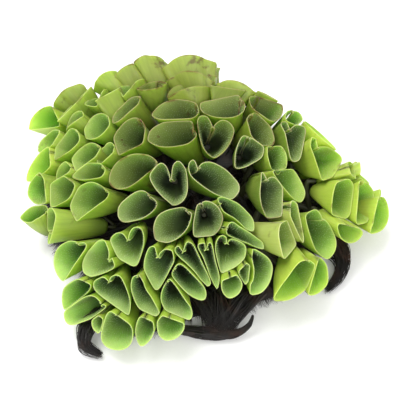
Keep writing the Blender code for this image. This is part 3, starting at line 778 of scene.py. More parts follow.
class Horn:
    """The place, frame, mouth and cell of one leaf, in millimetres."""

    def __init__(self, name, row, settings, far=False):
        self.name = name
        *place, width, length, lean, heading, self.blade = row[:8]
        self.shape = dict(row[8]) if len(row) > 8 else {}
        if far:
            self.mouth = np.array(place, float)
            px, py, bearing = PHOTO_MIDDLE, PHOTO_MIDDLE, FAR_BEARING
        else:
            px, py, bearing = place
            self.mouth = point_on_dome(px, py)
        lean, heading, bearing = (math.radians(v) for v in (lean, heading, bearing))
        self.width = width * settings.fullness
        self.length = length * settings.fullness
        flat = math.sin(lean)
        self.facing = np.array((flat * math.cos(heading), flat * math.sin(heading), math.cos(lean)))
        self.read_outline(px, py, bearing)
        depth = HORN_SHORTEST + HORN_PER_SIZE * min((width + length) / 2, HORN_SIZE_LIMIT)
        depth *= self.shape.get("deep", 1.0)
        heel = self.shape.get("heel", HEEL_SHARE)
        self.base = self.mouth - self.facing * depth - self.along * heel * length
        self.cell = []

    def read_outline(self, px, py, bearing):
        """The two sides of the mouth from its tip to its notch, along and across it."""
        sight = sight_line(px, py)
        found = OUTLINES.get(self.name)
        if found:
            tip, notch = np.array(found[0][0], float), np.array(found[0][-1], float)
            bearing = math.atan2(tip[1] - notch[1], tip[0] - notch[0])
        in_picture = RIGHTWARD * math.cos(bearing) - UPWARD * math.sin(bearing)
        along = unit(np.cross(self.facing, np.cross(-sight, in_picture)))
        self.along = -along if along @ in_picture < 0 else along
        self.across = np.cross(self.facing, self.along)
        if found:
            self.project(found, -sight)
            self.arch = self.shape.get("arch", 0.0)
            self.least_pressed = 0.0
        else:
            size = np.array((self.length, self.width)) / 2
            side = np.array(MOUTH_SIDE, float)
            self.sides = [side * size * (1, -1), side * size]
            self.arch = self.shape.get("arch", PLAIN_ARCH)
            self.least_pressed = LEAST_PRESSED

    def project(self, outline, towards):
        """Lays an outline from the photograph onto the plane of the mouth and centres it."""
        # A mouth seen nearly edge on is read on a plane that is turned a little to the camera
        normal = self.facing
        while normal @ towards < SMALLEST_SIGHT:
            normal = unit(normal + towards * SIGHT_TURN)
        one, two = (list(side) for side in outline)
        self.sides = []
        for pixels in (one, one[:1] + two + one[-1:]):
            points = []
            for pixel in pixels:
                line = sight_line(*pixel)
                reach = ((self.mouth - EYE) @ normal) / (line @ normal)
                points.append(EYE + line * reach)
            points = np.array(points) - self.mouth
            self.sides.append(np.stack((points @ self.along, points @ self.across), axis=1))
        if np.mean(self.sides[0][:, 1]) > np.mean(self.sides[1][:, 1]):
            self.sides.reverse()
        middle = np.mean(np.vstack((self.sides[0], self.sides[1][1:-1])), axis=0)
        self.mouth = self.mouth + self.along * middle[0] + self.across * middle[1]
        self.sides = [side - middle for side in self.sides]

    def rim(self, curl):
        """The mouth's margin from cut edge to cut edge, with its lobes rolled in or open."""
        notch = (self.sides[0][-1] + self.sides[1][-1]) / 2
        tip = self.sides[0][0]
        inwards = unit(tip - notch)
        roll = curl * ROLL_SHARE * np.linalg.norm(tip - notch)
        ends = []
        for side in self.sides:
            sideways = np.array((-inwards[1], inwards[0]))
            if (np.mean(side, axis=0) - notch) @ sideways < 0:
                sideways = -sideways
            end = notch + sideways * CUT_GAP
            ends.append([end])
            if roll > 0:
                ends[-1] += [end + inwards * roll * inward + sideways * roll * aside
                             for inward, aside in ROLLED_LOBE]
        one, two = self.sides
        line = smooth_line(np.vstack((ends[0][::-1], one[-2::-1], two[1:-1], ends[1])), RIM_SAMPLES)
        at_tip = int(np.argmin(np.linalg.norm(line - tip, axis=1)))
        picked = np.concatenate((np.linspace(0, at_tip, COLUMNS_PER_SIDE + 1),
                                 np.linspace(at_tip, len(line) - 1, COLUMNS_PER_SIDE + 1)[1:]))
        return np.stack([np.interp(picked, range(len(line)), line[:, j]) for j in (0, 1)], axis=1)

    def rim_points(self):
        """Points all round the mouth."""
        flat = np.vstack([smooth_line(side, SIDE_SAMPLES) for side in self.sides])
        return self.mouth + flat[:, :1] * self.along + flat[:, 1:] * self.across

    def settle(self):
        """Moves the mouth and the base well inside the cell."""
        for _ in range(SETTLING_STEPS):
            for p, n in self.cell:
                short = MOUTH_ROOM - (self.mouth - p) @ n
                if short > 0:
                    self.mouth = self.mouth + n * short * SETTLING_PACE
                short = BASE_ROOM - (self.base - p) @ n
                if short > 0:
                    self.base = self.base + n * short * SETTLING_PACE

    def keep_inside(self, centres, points):
        """Draws points softly towards their ring's centre until they are inside the cell."""
        total = np.ones(points.shape[:2])
        for p, n in self.cell:
            at_centre = np.maximum((centres - p) @ n, LEAST_ROOM)[:, None]
            at_point = (points - p) @ n
            closing = np.maximum(at_centre - at_point, 0.0)
            total = total + (closing / at_centre) ** SOFTNESS
        share = np.maximum(total ** (-1 / SOFTNESS), self.least_pressed)
        return centres[:, None] + (points - centres[:, None]) * share[..., None]

    def surface(self):
        """The middle surface: rings from the petiole to the rim, columns from lobe to lobe."""
        rolled_rim = self.rim(LOBE_CURL)
        open_rim = self.rim(0.0)
        turn = np.linspace(-1, 1, len(open_rim))
        small = np.stack((np.cos(turn * PETIOLE_OPENING), np.sin(turn * PETIOLE_OPENING)), axis=1)
        small *= PETIOLE_RADIUS
        tipness = np.clip(open_rim[:, 0] / max(open_rim[:, 0]), 0, 1)
        raised = self.arch * self.width * (np.sin(np.pi * np.abs(turn)) - ARCH_LEVEL)
        rise = np.linspace(0, 1, RINGS) ** RING_CROWDING
        axis = unit(self.mouth - self.base)
        centres = []
        points = []
        for v in rise:
            normal = unit(axis * (1 - v) + self.facing * v)
            along = unit(self.along - normal * (self.along @ normal))
            across = np.cross(normal, along)
            bow = math.sin(math.pi * v) * BOW_SHARE * self.length
            centre = self.base + (self.mouth - self.base) * v + self.along * bow
            flare = FLARE * (1 - max(0.0, (v - FLARE_TO) / FLARE_CLOSING) ** 2)
            share = (v ** (SWELL + TIP_SWELL * tipness) * (1 - flare))[:, None]
            rolled = min(max((v - ROLL_FROM) / ROLL_OVER, 0.0), 1.0)
            rolled = rolled * rolled * (3 - 2 * rolled)
            rim = open_rim + (rolled_rim - open_rim) * rolled
            ring = small * (1 - share) + rim * share
            centres.append(centre)
            points.append(centre + ring[:, :1] * along + ring[:, 1:] * across
                          + raised[:, None] * self.facing * v * v)
        centres = np.array(centres)
        return centres, self.keep_inside(centres, np.array(points)), turn, rise


def part_neighbours(one, two):
    """Gives two neighbouring horns the plane that best parts their mouths."""
    between = two.mouth - one.mouth
    if np.linalg.norm(between) > NEIGHBOUR_REACH:
        return
    spine = unit((one.mouth + two.mouth) / 2 - (one.base + two.base) / 2)
    first = unit(between - spine * (between @ spine))
    second = np.cross(spine, first)
    rims = one.rim_points(), two.rim_points()
    best = None
    for degrees in PARTING_TURNS:
        turned = first * math.cos(math.radians(degrees)) + second * math.sin(math.radians(degrees))
        far_one = np.max(rims[0] @ turned)
        near_two = np.min(rims[1] @ turned)
        score = near_two - far_one - abs(degrees) * TURN_COST
        if best is None or score > best[0]:
            best = (score, turned, (far_one + near_two) / 2)
    _, normal, level = best
    middle = (one.mouth + two.mouth) / 2
    at_mouths = middle + normal * (level - middle @ normal)
    at_bases = (one.base + two.base) / 2
    tilt_line = unit(at_mouths - at_bases)
    tilted = normal - tilt_line * (normal @ tilt_line)
    if np.linalg.norm(tilted) > LEAST_TILTED:
        normal = unit(tilted)
    one.cell.append((at_mouths - normal * SHELL_ROOM, -normal))
    two.cell.append((at_mouths + normal * SHELL_ROOM, normal))


def stem_lines(name):
    """The middle lines of a stem and its branches, at a steady depth under the dome."""
    lines = []
    for plan in STEM_PATHS[name]:
        line = [(x, y, max(dome_height(x, y) - STEM_DROP, STEM_LOWEST)) for x, y in plan]
        lines.append(smooth_line(line, STEM_POINTS * (len(line) - 1) + 1))
    return lines


def lay_out(settings):
    """Every leaf of the clump, pressed on by its neighbours."""
    horns = [Horn(name, row, settings) for name, row in LEAVES.items()]
    for stem, rows in YOUNG.items():
        horns += [Horn(f"{stem}_young_leaf_{i + 1}", row, settings) for i, row in enumerate(rows)]
    for stem, rows in FAR.items():
        horns += [Horn(f"{stem}_far_leaf_{i + 1}", row, settings, far=True)
                  for i, row in enumerate(rows)]
    for i, one in enumerate(horns):
        for two in horns[i + 1:]:
            part_neighbours(one, two)
    for horn in horns:
        horn.cell.append((np.array((0, 0, LOWEST_LEAF)), np.array((0.0, 0.0, 1.0))))
        horn.settle()
    return {horn.name: horn for horn in horns}


LAYOUT = {}


def layout():
    """The leaves' places, worked out by the first operator that asks for them."""
    if not LAYOUT:
        LAYOUT.update(lay_out(bpy.context.scene.salvinia_leaves))
    return LAYOUT


def sheet_lengths(middle):
    """How far each point of a blade is from the rim and from its nearest margin."""
    rings, columns = middle.shape[:2]
    up = np.zeros((rings, columns))
    up[:-1] = np.cumsum(np.linalg.norm(np.diff(middle, axis=0), axis=2)[::-1], axis=0)[::-1]
    steps = np.linalg.norm(np.diff(middle, axis=1), axis=2)
    from_left = np.concatenate((np.zeros((rings, 1)), np.cumsum(steps, axis=1)), axis=1)
    from_right = from_left[:, -1:] - from_left
    return up, np.minimum(up, np.minimum(from_left, from_right)), from_left[-1, -1] / 2


def blade_profile(horn, thickness):
    """The blade's two faces joined by a round rim, row by row, and what each row is."""
    centres, middle, turn, rise = horn.surface()
    rings, columns = middle.shape[:2]
    down = np.gradient(middle, axis=0)
    normal = units(np.cross(np.gradient(middle, axis=1), down))
    half_way = columns // 2
    outwards = middle - centres[:, None]
    if np.sum(normal[:, half_way] * outwards[:, half_way]) < 0:
        normal = -normal
    half = thickness / 2 / MM * (1.0 - RIM_THINNING * rise ** 3)[:, None]
    ahead = units(down[-1])
    rows = [middle[k] - normal[k] * half[k] for k in range(rings)]
    inside = [1.0] * rings
    for k in range(1, RIM_STEPS):
        angle = math.pi * k / RIM_STEPS
        step = ahead * math.sin(angle) - normal[-1] * math.cos(angle)
        rows.append(middle[-1] + step * half[-1])
        inside.append(1 - k / RIM_STEPS)
    rows += [middle[k] + normal[k] * half[k] for k in reversed(range(rings))]
    inside += [0.0] * rings
    heights = list(rise) + [1.0] * (RIM_STEPS - 1) + list(rise[::-1])
    return middle, turn, rise, half, np.array(rows), inside, heights


def blade_mesh(horn, thickness):
    """A closed fleshy blade round the middle surface, with its maps."""
    middle, turn, rise, half, profile, inside, heights = blade_profile(horn, thickness)
    rings, columns = middle.shape[:2]
    rows = len(profile)
    arc_up, margin, girth = sheet_lengths(middle)
    rim_rows = np.zeros((RIM_STEPS - 1, columns))
    places = np.stack((
        np.broadcast_to(np.array(heights)[:, None], (rows, columns)),
        np.broadcast_to(np.array(inside)[:, None], (rows, columns)),
        np.vstack((margin, rim_rows, margin[::-1])),
    ), axis=2)
    sheet = np.stack((np.broadcast_to(turn * girth, (rows, columns)),
                      np.vstack((arc_up, rim_rows, arc_up[::-1]))), axis=2)
    vertices = list(profile.reshape(-1, 3))
    maps = list(places.reshape(-1, 3))
    flat = list(sheet.reshape(-1, 2))
    faces = []
    for r in range(rows - 1):
        for c in range(columns - 1):
            a = r * columns + c
            faces.append((a, a + 1, a + 1 + columns, a + columns))
    last = (rows - 1) * columns
    for c in range(columns - 1):
        faces.append((c, last + c, last + c + 1, c + 1))
    # The two cut margins are rounded with one more line of points each
    for c, beside in ((0, 1), (columns - 1, columns - 2)):
        away = units(middle[:, c] - middle[:, beside])
        start = len(vertices)
        for k in range(rings):
            vertices.append(middle[k, c] + away[k] * half[k] * CUT_ROUNDING)
            maps.append((rise[k], 0.5, 0.0))
            flat.append((turn[c] * girth, arc_up[k, c]))
        for k in range(rings - 1):
            inner = k * columns + c
            outer = (rows - 1 - k) * columns + c
            edge = start + k
            faces.append((inner, inner + columns, edge + 1, edge))
            faces.append((edge, edge + 1, outer - columns, outer))
        top = start + rings - 1
        for r in range(rings - 1, rings - 1 + RIM_STEPS):
            faces.append((r * columns + c, (r + 1) * columns + c, top))
        faces.append((c, start, last + c))
    return vertices, faces, maps, flat


def link(name, mesh):
    """An object at the origin that shows a mesh."""
    piece = bpy.data.objects.new(name, mesh)
    bpy.context.scene.collection.objects.link(piece)
    return piece


def new_mesh(name, vertices, faces, materials=()):
    """A mesh piece with smooth faces that point outwards."""
    mesh = bpy.data.meshes.new(name)
    mesh.from_pydata([tuple(v) for v in vertices], [], faces)
    work = bmesh.new()
    work.from_mesh(mesh)
    bmesh.ops.recalc_face_normals(work, faces=work.faces)
    work.to_mesh(mesh)
    work.free()
    mesh.polygons.foreach_set("use_smooth", [True] * len(mesh.polygons))
    for material in materials:
        mesh.materials.append(material)
    return link(name, mesh)


def store_places(mesh, maps):
    """Keeps a blade's height, inside and distance from the margin as an attribute."""
    place = mesh.attributes.new(PLACE_MAP, "FLOAT_VECTOR", "POINT")
    place.data.foreach_set("vector", np.asarray(maps, np.float32).ravel())


def store_sheet(mesh, flat):
    """Keeps a blade's flat sheet, in millimetres, as a UV map."""
    sheet = mesh.uv_layers.new(name=SHEET_MAP)
    corners = np.zeros(len(mesh.loops), np.int32)
    mesh.loops.foreach_get("vertex_index", corners)
    sheet.data.foreach_set("uv", np.asarray(flat, np.float32)[corners].ravel())


def add(tree, kind, inputs=None, **settings):
    """Adds a node with its settings, its input values by identifier and its links."""
    node = tree.nodes.new(kind)
    for key, value in settings.items():
        setattr(node, key, value)
    for key, value in (inputs or {}).items():
        socket = next(s for s in node.inputs if s.identifier == key)
        if isinstance(value, bpy.types.NodeSocket):
            tree.links.new(value, socket)
        else:
            socket.default_value = value
    return node


def result(node):
    """The first output that a node's settings leave switched on."""
    return next(s for s in node.outputs if s.enabled)


def work_out(tree, operation, *values):
    """The result of arithmetic on up to three values."""
    inputs = dict(zip(("Value", "Value_001", "Value_002"), values))
    return result(add(tree, "ShaderNodeMath", inputs, operation=operation))


def remap(tree, value, low, high, start=0.0, end=1.0):
    """A value between two limits as one between two others."""
    return add(tree, "ShaderNodeMapRange", {
        "Value": value, "From Min": low, "From Max": high, "To Min": start, "To Max": end,
    }).outputs["Result"]


def noise(tree, vector, scale, detail=2.0, rough=0.5):
    """Soft blotches of a given fineness, between 0 and 1."""
    return add(tree, "ShaderNodeTexNoise", {
        "Vector": vector, "Scale": scale, "Detail": detail, "Roughness": rough,
    }).outputs["Fac"]


def blend(tree, share, one, two):
    """A colour between two, nearer the second as the share grows."""
    return add(tree, "ShaderNodeMix", {"Factor_Float": share, "A_Color": one, "B_Color": two},
               data_type="RGBA").outputs[2]


def ramp(tree, value, stops):
    """A colour read from a smooth scale of colours."""
    node = add(tree, "ShaderNodeValToRGB", {"Fac": value})
    node.color_ramp.interpolation = "EASE"
    while len(node.color_ramp.elements) < len(stops):
        node.color_ramp.elements.new(0.5)
    for element, (at, colour) in zip(node.color_ramp.elements, stops):
        element.position = at
        element.color = linear(colour)
    return node.outputs["Color"]


def object_place(tree):
    """Coordinates that stay with the object."""
    return add(tree, "ShaderNodeTexCoord").outputs["Object"]


def new_material(name):
    """An empty material: its tree and its shader."""
    material = bpy.data.materials.new(name)
    material.use_nodes = True
    tree = material.node_tree
    return material, tree, tree.nodes["Principled BSDF"]


def relieve(tree, shader, height, strength):
    """A fine relief that only the light shows."""
    bump = add(tree, "ShaderNodeBump", {
        "Height": height, "Strength": strength, "Distance": RELIEF_DEPTH,
    })
    tree.links.new(bump.outputs["Normal"], shader.inputs["Normal"])


def material_of(name, maker, *given):
    """A material that is made once and then shared."""
    found = bpy.data.materials.get(name)
    return found if found else maker(name, *given)


def blade_material(name, blade):
    """Fresh salvinia blade: waxy cuticle outside, fine water-shedding hairs inside, so the
    outside has a soft gloss and the inside is velvety and quite matt."""
    rim, band, middle, throat_dark_and_shade, margin, wall_top, wall_base_and_shade, age, deep = BLADES[blade]
    material, tree, shader = new_material(name)
    place = add(tree, "ShaderNodeAttribute", attribute_name=PLACE_MAP)
    height, inside, edge = add(tree, "ShaderNodeSeparateXYZ", {
        "Vector": place.outputs["Vector"],
    }).outputs
    sheet = add(tree, "ShaderNodeUVMap", uv_map=SHEET_MAP).outputs["UV"]
    where = object_place(tree)

    def stretch(x, y):
        return add(tree, "ShaderNodeMapping", {
            "Vector": sheet, "Scale": (x, y, 1.0),
        }).outputs["Vector"]

    # Furrows run down the inside from the rim, about 0.5 mm apart, drawn a little coarser
    furrows = noise(tree, stretch(1.6, 0.10), 1.0, 3.0, 0.6)
    # The hairs' feet are pale specks about 0.5 mm apart, closer than the hairs that are drawn
    feet = noise(tree, stretch(2.2, 2.2), 1.0, 2.0, 0.6)
    veins = noise(tree, stretch(0.7, 0.05), 1.0)
    patches = noise(tree, where, 90.0, 3.0)
    drift = noise(tree, where, 260.0, 4.0, 0.6)

    # The throat's dark, partly its own colour and partly painted shade deep in the hollow, follows the
    # furrows and is deepest beside the notch
    level = work_out(tree, "MULTIPLY_ADD", furrows, 0.30, height)
    level = work_out(tree, "ADD", level, -0.15)
    from_tip = work_out(tree, "ABSOLUTE", add(tree, "ShaderNodeSeparateXYZ", {
        "Vector": sheet,
    }).outputs["X"])
    level = work_out(tree, "ADD", level, remap(tree, from_tip, 3.0, 16.0, 0.14, -0.16))
    inner = ramp(tree, level, ((deep, throat_dark_and_shade), (0.42, middle), (0.74, band), (1.0, rim)))
    inner = blend(tree, remap(tree, feet, 0.45, 0.75, 0.0, 0.35), inner, linear(rim))
    # The outside darkens from the rim towards the base, partly its own colour and partly painted shade
    # low on the wall between the leaves
    outer = ramp(tree, height, ((0.10, wall_base_and_shade), (0.55, wall_top), (1.0, wall_top)))
    outer = blend(tree, remap(tree, veins, 0.35, 0.7, 0.0, 0.35), outer, linear(wall_base_and_shade))
    colour = blend(tree, inside, outer, inner)
    shade = remap(tree, patches, 0.35, 0.7, 0.0, 0.35)
    colour = blend(tree, shade, colour, linear(wall_base_and_shade))
    colour = blend(tree, remap(tree, edge, 0.02, 0.24, 0.65, 0.0), colour, linear(margin))

    # Age browns a blade in spots, and dries it in short lengths along its margin
    spots = remap(tree, work_out(tree, "MULTIPLY", drift, patches),
                  0.40 - 0.10 * age, 0.47 - 0.08 * age, 0.0, min(0.9, age * 1.5))
    colour = blend(tree, spots, colour, linear("#5A4424"))
    lengths = remap(tree, noise(tree, where, 140.0),
                    0.62 - 0.12 * age, 0.70 - 0.12 * age, 0.0, min(1.0, age * 1.8))
    dry = work_out(tree, "MULTIPLY", remap(tree, edge, 0.1, 0.9, 1.0, 0.0), lengths)
    colour = blend(tree, dry, colour, linear("#64492A"))
    tree.links.new(colour, shader.inputs["Base Color"])
    tree.links.new(remap(tree, inside, 0.0, 1.0, 0.42, 0.75), shader.inputs["Roughness"])
    shader.inputs["IOR"].default_value = WAX_IOR
    shader.inputs["Subsurface Weight"].default_value = 0.5
    shader.inputs["Subsurface Radius"].default_value = (0.6, 1.0, 0.2)
    shader.inputs["Subsurface Scale"].default_value = 0.003
    relieve(tree, shader, work_out(tree, "ADD", furrows, feet), 0.35)
    return material


def hair_material(name):
    """Water-shedding hairs: pale and waxy, with hardly any colour of their own."""
    material, _, shader = new_material(name)
    shader.inputs["Base Color"].default_value = linear("#A9BE86")
    shader.inputs["Roughness"].default_value = 0.6
    shader.inputs["IOR"].default_value = WAX_IOR
    return material


def stem_material(name):
    """Creeping stem: a dark green rhizome with short brown hairs, softly glossy between them."""
    material, tree, shader = new_material(name)
    streaks = noise(tree, object_place(tree), 700.0, 3.0)
    colour = blend(tree, streaks, linear("#38421C"), linear("#2C2313"))
    tree.links.new(colour, shader.inputs["Base Color"])
    shader.inputs["Roughness"].default_value = 0.55
    relieve(tree, shader, streaks, 0.4)
    return material


def root_material(name):
    """Root-like leaves: wet brown-black fibres, so they are dark with narrow bright glints."""
    material, tree, shader = new_material(name)
    where = object_place(tree)
    clumps = noise(tree, where, 160.0, 3.0)
    fine = noise(tree, where, 1400.0, 3.0)
    share = remap(tree, clumps, 0.48, 0.72, 0.0, 0.8)
    colour = blend(tree, share, linear("#17130F"), linear("#43291C"))
    tree.links.new(colour, shader.inputs["Base Color"])
    shader.inputs["Roughness"].default_value = 0.45
    relieve(tree, shader, fine, 0.5)
    return material


def new_growth(name, inputs):
    """A node tree that a geometry, named values and a material go into, and what goes in."""
    tree = bpy.data.node_groups.new(name, "GeometryNodeTree")
    sockets = tree.interface
    sockets.new_socket(name="Geometry", in_out="INPUT", socket_type="NodeSocketGeometry")
    for label, kind, value in inputs:
        socket = sockets.new_socket(name=label, in_out="INPUT", socket_type=f"NodeSocket{kind}")
        socket.default_value = value
    sockets.new_socket(name="Material", in_out="INPUT", socket_type="NodeSocketMaterial")
    sockets.new_socket(name="Geometry", in_out="OUTPUT", socket_type="NodeSocketGeometry")
    return tree, add(tree, "NodeGroupInput").outputs


def end_growth(tree, shape, material):
    """Makes what grew real, gives it its material and passes it out."""
    real = add(tree, "GeometryNodeRealizeInstances", {"Geometry": shape})
    dressed = add(tree, "GeometryNodeSetMaterial", {
        "Geometry": real.outputs["Geometry"], "Material": material,
    })
    end = add(tree, "NodeGroupOutput")
    tree.links.new(dressed.outputs["Geometry"], end.inputs[0])
    return tree


def read_attribute(tree, name, kind):
    """What the points of the geometry carry under a name."""
    return result(add(tree, "GeometryNodeInputNamedAttribute", {"Name": name}, data_type=kind))


def chance_between(tree, low, high, seed, number=None):
    """A float at random for each element, or for each number given."""
    inputs = {"Min_001": low, "Max_001": high, "Seed": seed}
    if number is not None:
        inputs["ID"] = number
    return result(add(tree, "FunctionNodeRandomValue", inputs, data_type="FLOAT"))


def hair_tree():
    """Short hairs standing all over the inside of the blades, a little apart."""
    found = bpy.data.node_groups.get("salvinia hairs")
    if found:
        return found
    tree, given = new_growth("salvinia hairs", (
        ("Spacing", "Float", 0.0008), ("Hair Length", "Float", 0.0005),
        ("Hair Radius", "Float", 0.00007), ("Seed", "Int", 1),
    ))
    place = read_attribute(tree, PLACE_MAP, "FLOAT_VECTOR")
    height, inside, edge = add(tree, "ShaderNodeSeparateXYZ", {"Vector": place}).outputs
    wanted = work_out(tree, "GREATER_THAN", inside, WELL_INSIDE)
    for value, least in ((height, HAIRS_FROM), (edge, HAIRLESS_MARGIN)):
        more = work_out(tree, "GREATER_THAN", value, least)
        wanted = work_out(tree, "MULTIPLY", wanted, more)
    spread = add(tree, "GeometryNodeDistributePointsOnFaces", {
        "Mesh": given["Geometry"], "Selection": wanted, "Distance Min": given["Spacing"],
        "Density Max": HAIR_DENSITY, "Seed": given["Seed"],
    }, distribute_method="POISSON")
    hair = add(tree, "GeometryNodeMeshCone", {
        "Vertices": 3, "Radius Top": HAIR_TIP, "Radius Bottom": given["Hair Radius"],
        "Depth": given["Hair Length"],
    })
    planted = add(tree, "GeometryNodeInstanceOnPoints", {
        "Points": spread.outputs["Points"], "Instance": hair.outputs["Mesh"],
        "Rotation": spread.outputs["Rotation"],
        "Scale": chance_between(tree, 0.6, 1.2, given["Seed"]),
    })
    return end_growth(tree, planted.outputs["Instances"], given["Material"])


def fibre_tree():
    """Fibres that follow guide lines: every guide becomes a bundle of thin tapered strands."""
    found = bpy.data.node_groups.get("salvinia fibres")
    if found:
        return found
    tree, given = new_growth("salvinia fibres", (
        ("Strands", "Int", 12), ("Points", "Int", 20), ("Strand Radius", "Float", 0.0003),
        ("Waviness", "Float", 0.4), ("End Share", "Float", 0.15), ("Sides", "Int", 5),
        ("Seed", "Int", 1),
    ))
    curves = add(tree, "GeometryNodeMeshToCurve", {"Mesh": given["Geometry"]})
    curves = add(tree, "GeometryNodeResampleCurve", {
        "Curve": curves.outputs["Curve"], "Count": given["Points"],
    })
    copies = add(tree, "GeometryNodeDuplicateElements", {
        "Geometry": curves.outputs["Curve"], "Amount": given["Strands"],
    }, domain="SPLINE")
    number = add(tree, "GeometryNodeInputIndex")
    strand = add(tree, "GeometryNodeFieldOnDomain", {"Value": number.outputs["Index"]},
                 domain="CURVE", data_type="INT").outputs["Value"]
    # Each strand is shifted in its bundle and drifts along a noise of its own
    shift = result(add(tree, "FunctionNodeRandomValue", {
        "Min": (-1.0, -1.0, -1.0), "Max": (1.0, 1.0, 1.0), "ID": strand, "Seed": given["Seed"],
    }, data_type="FLOAT_VECTOR"))
    drift = add(tree, "ShaderNodeTexNoise", {
        "Vector": add(tree, "GeometryNodeInputPosition").outputs["Position"],
        "W": work_out(tree, "MULTIPLY", strand, 3.7), "Scale": 130.0, "Detail": 2.0,
    }, noise_dimensions="4D").outputs["Color"]
    drift = add(tree, "ShaderNodeVectorMath", {
        "Vector": drift, "Vector_001": (0.5, 0.5, 0.5),
    }, operation="SUBTRACT").outputs["Vector"]
    drift = add(tree, "ShaderNodeVectorMath", {
        "Vector": drift, "Scale": given["Waviness"],
    }, operation="SCALE").outputs["Vector"]
    both = add(tree, "ShaderNodeVectorMath", {"Vector": shift, "Vector_001": drift}).outputs["Vector"]
    offset = add(tree, "ShaderNodeVectorMath", {
        "Vector": both, "Scale": read_attribute(tree, BUNDLE_MAP, "FLOAT"),
    }, operation="SCALE").outputs["Vector"]
    placed = add(tree, "GeometryNodeSetPosition", {
        "Geometry": copies.outputs["Geometry"], "Offset": offset,
    })
    along = add(tree, "GeometryNodeSplineParameter").outputs["Factor"]
    taper = remap(tree, along, TAPER_FROM, 1.0, 1.0, given["End Share"])
    girth = work_out(tree, "MULTIPLY", chance_between(tree, 0.5, 1.3, GIRTH_SEED, strand), taper)
    girth = work_out(tree, "MULTIPLY", girth, given["Strand Radius"])
    profile = add(tree, "GeometryNodeCurvePrimitiveCircle", {
        "Resolution": given["Sides"], "Radius": 1.0,
    })
    tubes = add(tree, "GeometryNodeCurveToMesh", {
        "Curve": placed.outputs["Geometry"], "Profile Curve": profile.outputs["Curve"],
        "Scale": girth, "Fill Caps": True,
    })
    smooth = add(tree, "GeometryNodeSetShadeSmooth", {"Geometry": tubes.outputs["Mesh"]})
    return end_growth(tree, smooth.outputs["Geometry"], given["Material"])


def grown(name, ground, tree, values):
    """A plain mesh of what the tree grows on an object, which goes."""
    grower = ground.modifiers.new("Growth", "NODES")
    grower.node_group = tree
    for item in tree.interface.items_tree:
        if item.item_type == "SOCKET" and item.in_out == "INPUT" and item.name in values:
            grower[item.identifier] = values[item.name]
    view = bpy.context.evaluated_depsgraph_get()
    mesh = bpy.data.meshes.new_from_object(ground.evaluated_get(view))
    mesh.name = name
    if len(mesh.polygons) == 0:
        raise RuntimeError(f"nothing grew for {name}")
    bpy.data.objects.remove(ground)
    return link(name, mesh)


def grow_hairs(name, blades, settings):
    """One plain mesh of hairs for a row of blades."""
    vertices = []
    faces = []
    maps = []
    for points, loops, places in blades:
        first = len(vertices)
        vertices += [tuple(p) for p in points]
        faces += [tuple(first + i for i in loop) for loop in loops]
        maps += list(places)
    ground = new_mesh(f"{name}_ground", vertices, faces)
    store_places(ground.data, maps)
    piece = grown(name, ground, hair_tree(), {
        "Spacing": settings.hair_spacing, "Hair Length": settings.hair_length,
        "Seed": HAIR_SEED, "Material": material_of("salvinia hair", hair_material),
    })
    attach(piece, BODY)


def grow(name, guides, bundles, values):
    """Strands along guide lines, in bundles whose radii are given for each line or its points."""
    vertices = []
    edges = []
    radii = []
    for line, radius in zip(guides, bundles):
        first = len(vertices)
        vertices += [tuple(p) for p in to_metres(line)]
        radii += list(np.broadcast_to(np.asarray(radius, float) * MM, (len(line),)))
        edges += [(first + k, first + k + 1) for k in range(len(line) - 1)]
    mesh = bpy.data.meshes.new(f"{name}_guides")
    mesh.from_pydata(vertices, edges, [])
    mesh.attributes.new(BUNDLE_MAP, "FLOAT", "POINT").data.foreach_set("value", radii)
    piece = grown(name, link(f"{name}_guides", mesh), fibre_tree(), values)
    places = np.zeros(len(piece.data.vertices) * 3, np.float32)
    piece.data.vertices.foreach_get("co", places)
    places[2::3] = np.maximum(places[2::3], LOWEST_FIBRE * MM)
    piece.data.vertices.foreach_set("co", places)
    return piece


def make_leaves(row, names, settings):
    """The blades of the named leaves, each its own piece, and the hairs in their mouths."""
    blades = []
    for name in names:
        horn = layout()[name]
        material = material_of(f"salvinia blade {horn.blade}", blade_material, horn.blade)
        vertices, faces, maps, flat = blade_mesh(horn, settings.thickness)
        vertices = to_metres(vertices)
        piece = new_mesh(f"{name}_blade", vertices, faces, [material])
        store_places(piece.data, maps)
        store_sheet(piece.data, flat)
        blades.append((vertices, faces, maps))
        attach(piece, BODY)
        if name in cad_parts:
            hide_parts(name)
    grow_hairs(f"{row}_hairs", blades, settings)


def hanging_roots(lines):
    """Lines that hang from the stems into the mat, a few at every node of the stem."""
    chance = np.random.default_rng(HANGING_SEED)
    drop = np.linspace(0, 1, HANGING_POINTS)[:, None]
    hanging = []
    for line in lines:
        length = np.linalg.norm(np.diff(line, axis=0), axis=1).sum()
        for top in smooth_line(line, int(length / ROOT_SPACING) + 2):
            for _ in range(ROOTS_PER_NODE):
                aside = chance.uniform(-ROOT_SPREAD, ROOT_SPREAD, 2)
                foot = np.array((top[0] + aside[0], top[1] + aside[1], MAT_TOP))
                bulge = np.sin(drop * math.pi) * np.array((*(aside * HANGING_BULGE), 0.0))
                hanging.append(top + (foot - top) * drop + bulge)
    return hanging


def petiole_lines():
    """A short stalk for every leaf, from the nearest place of a stem to just under the base."""
    stalks = {name: [] for name in STEM_PATHS}
    for horn in layout().values():
        nearest = None
        for name in STEM_PATHS:
            for line in stem_lines(name):
                gaps = np.linalg.norm(line - horn.base, axis=1)
                k = int(np.argmin(gaps))
                if nearest is None or gaps[k] < nearest[0]:
                    nearest = (gaps[k], name, line[k])
        gap, name, start = nearest
        axis = unit(horn.mouth - horn.base)
        bend = horn.base - axis * min(gap * STALK_BEND_SHARE, STALK_BEND_MOST)
        stalks[name].append(smooth_line((start, bend, horn.base - axis * STALK_END), STALK_POINTS))
    return stalks


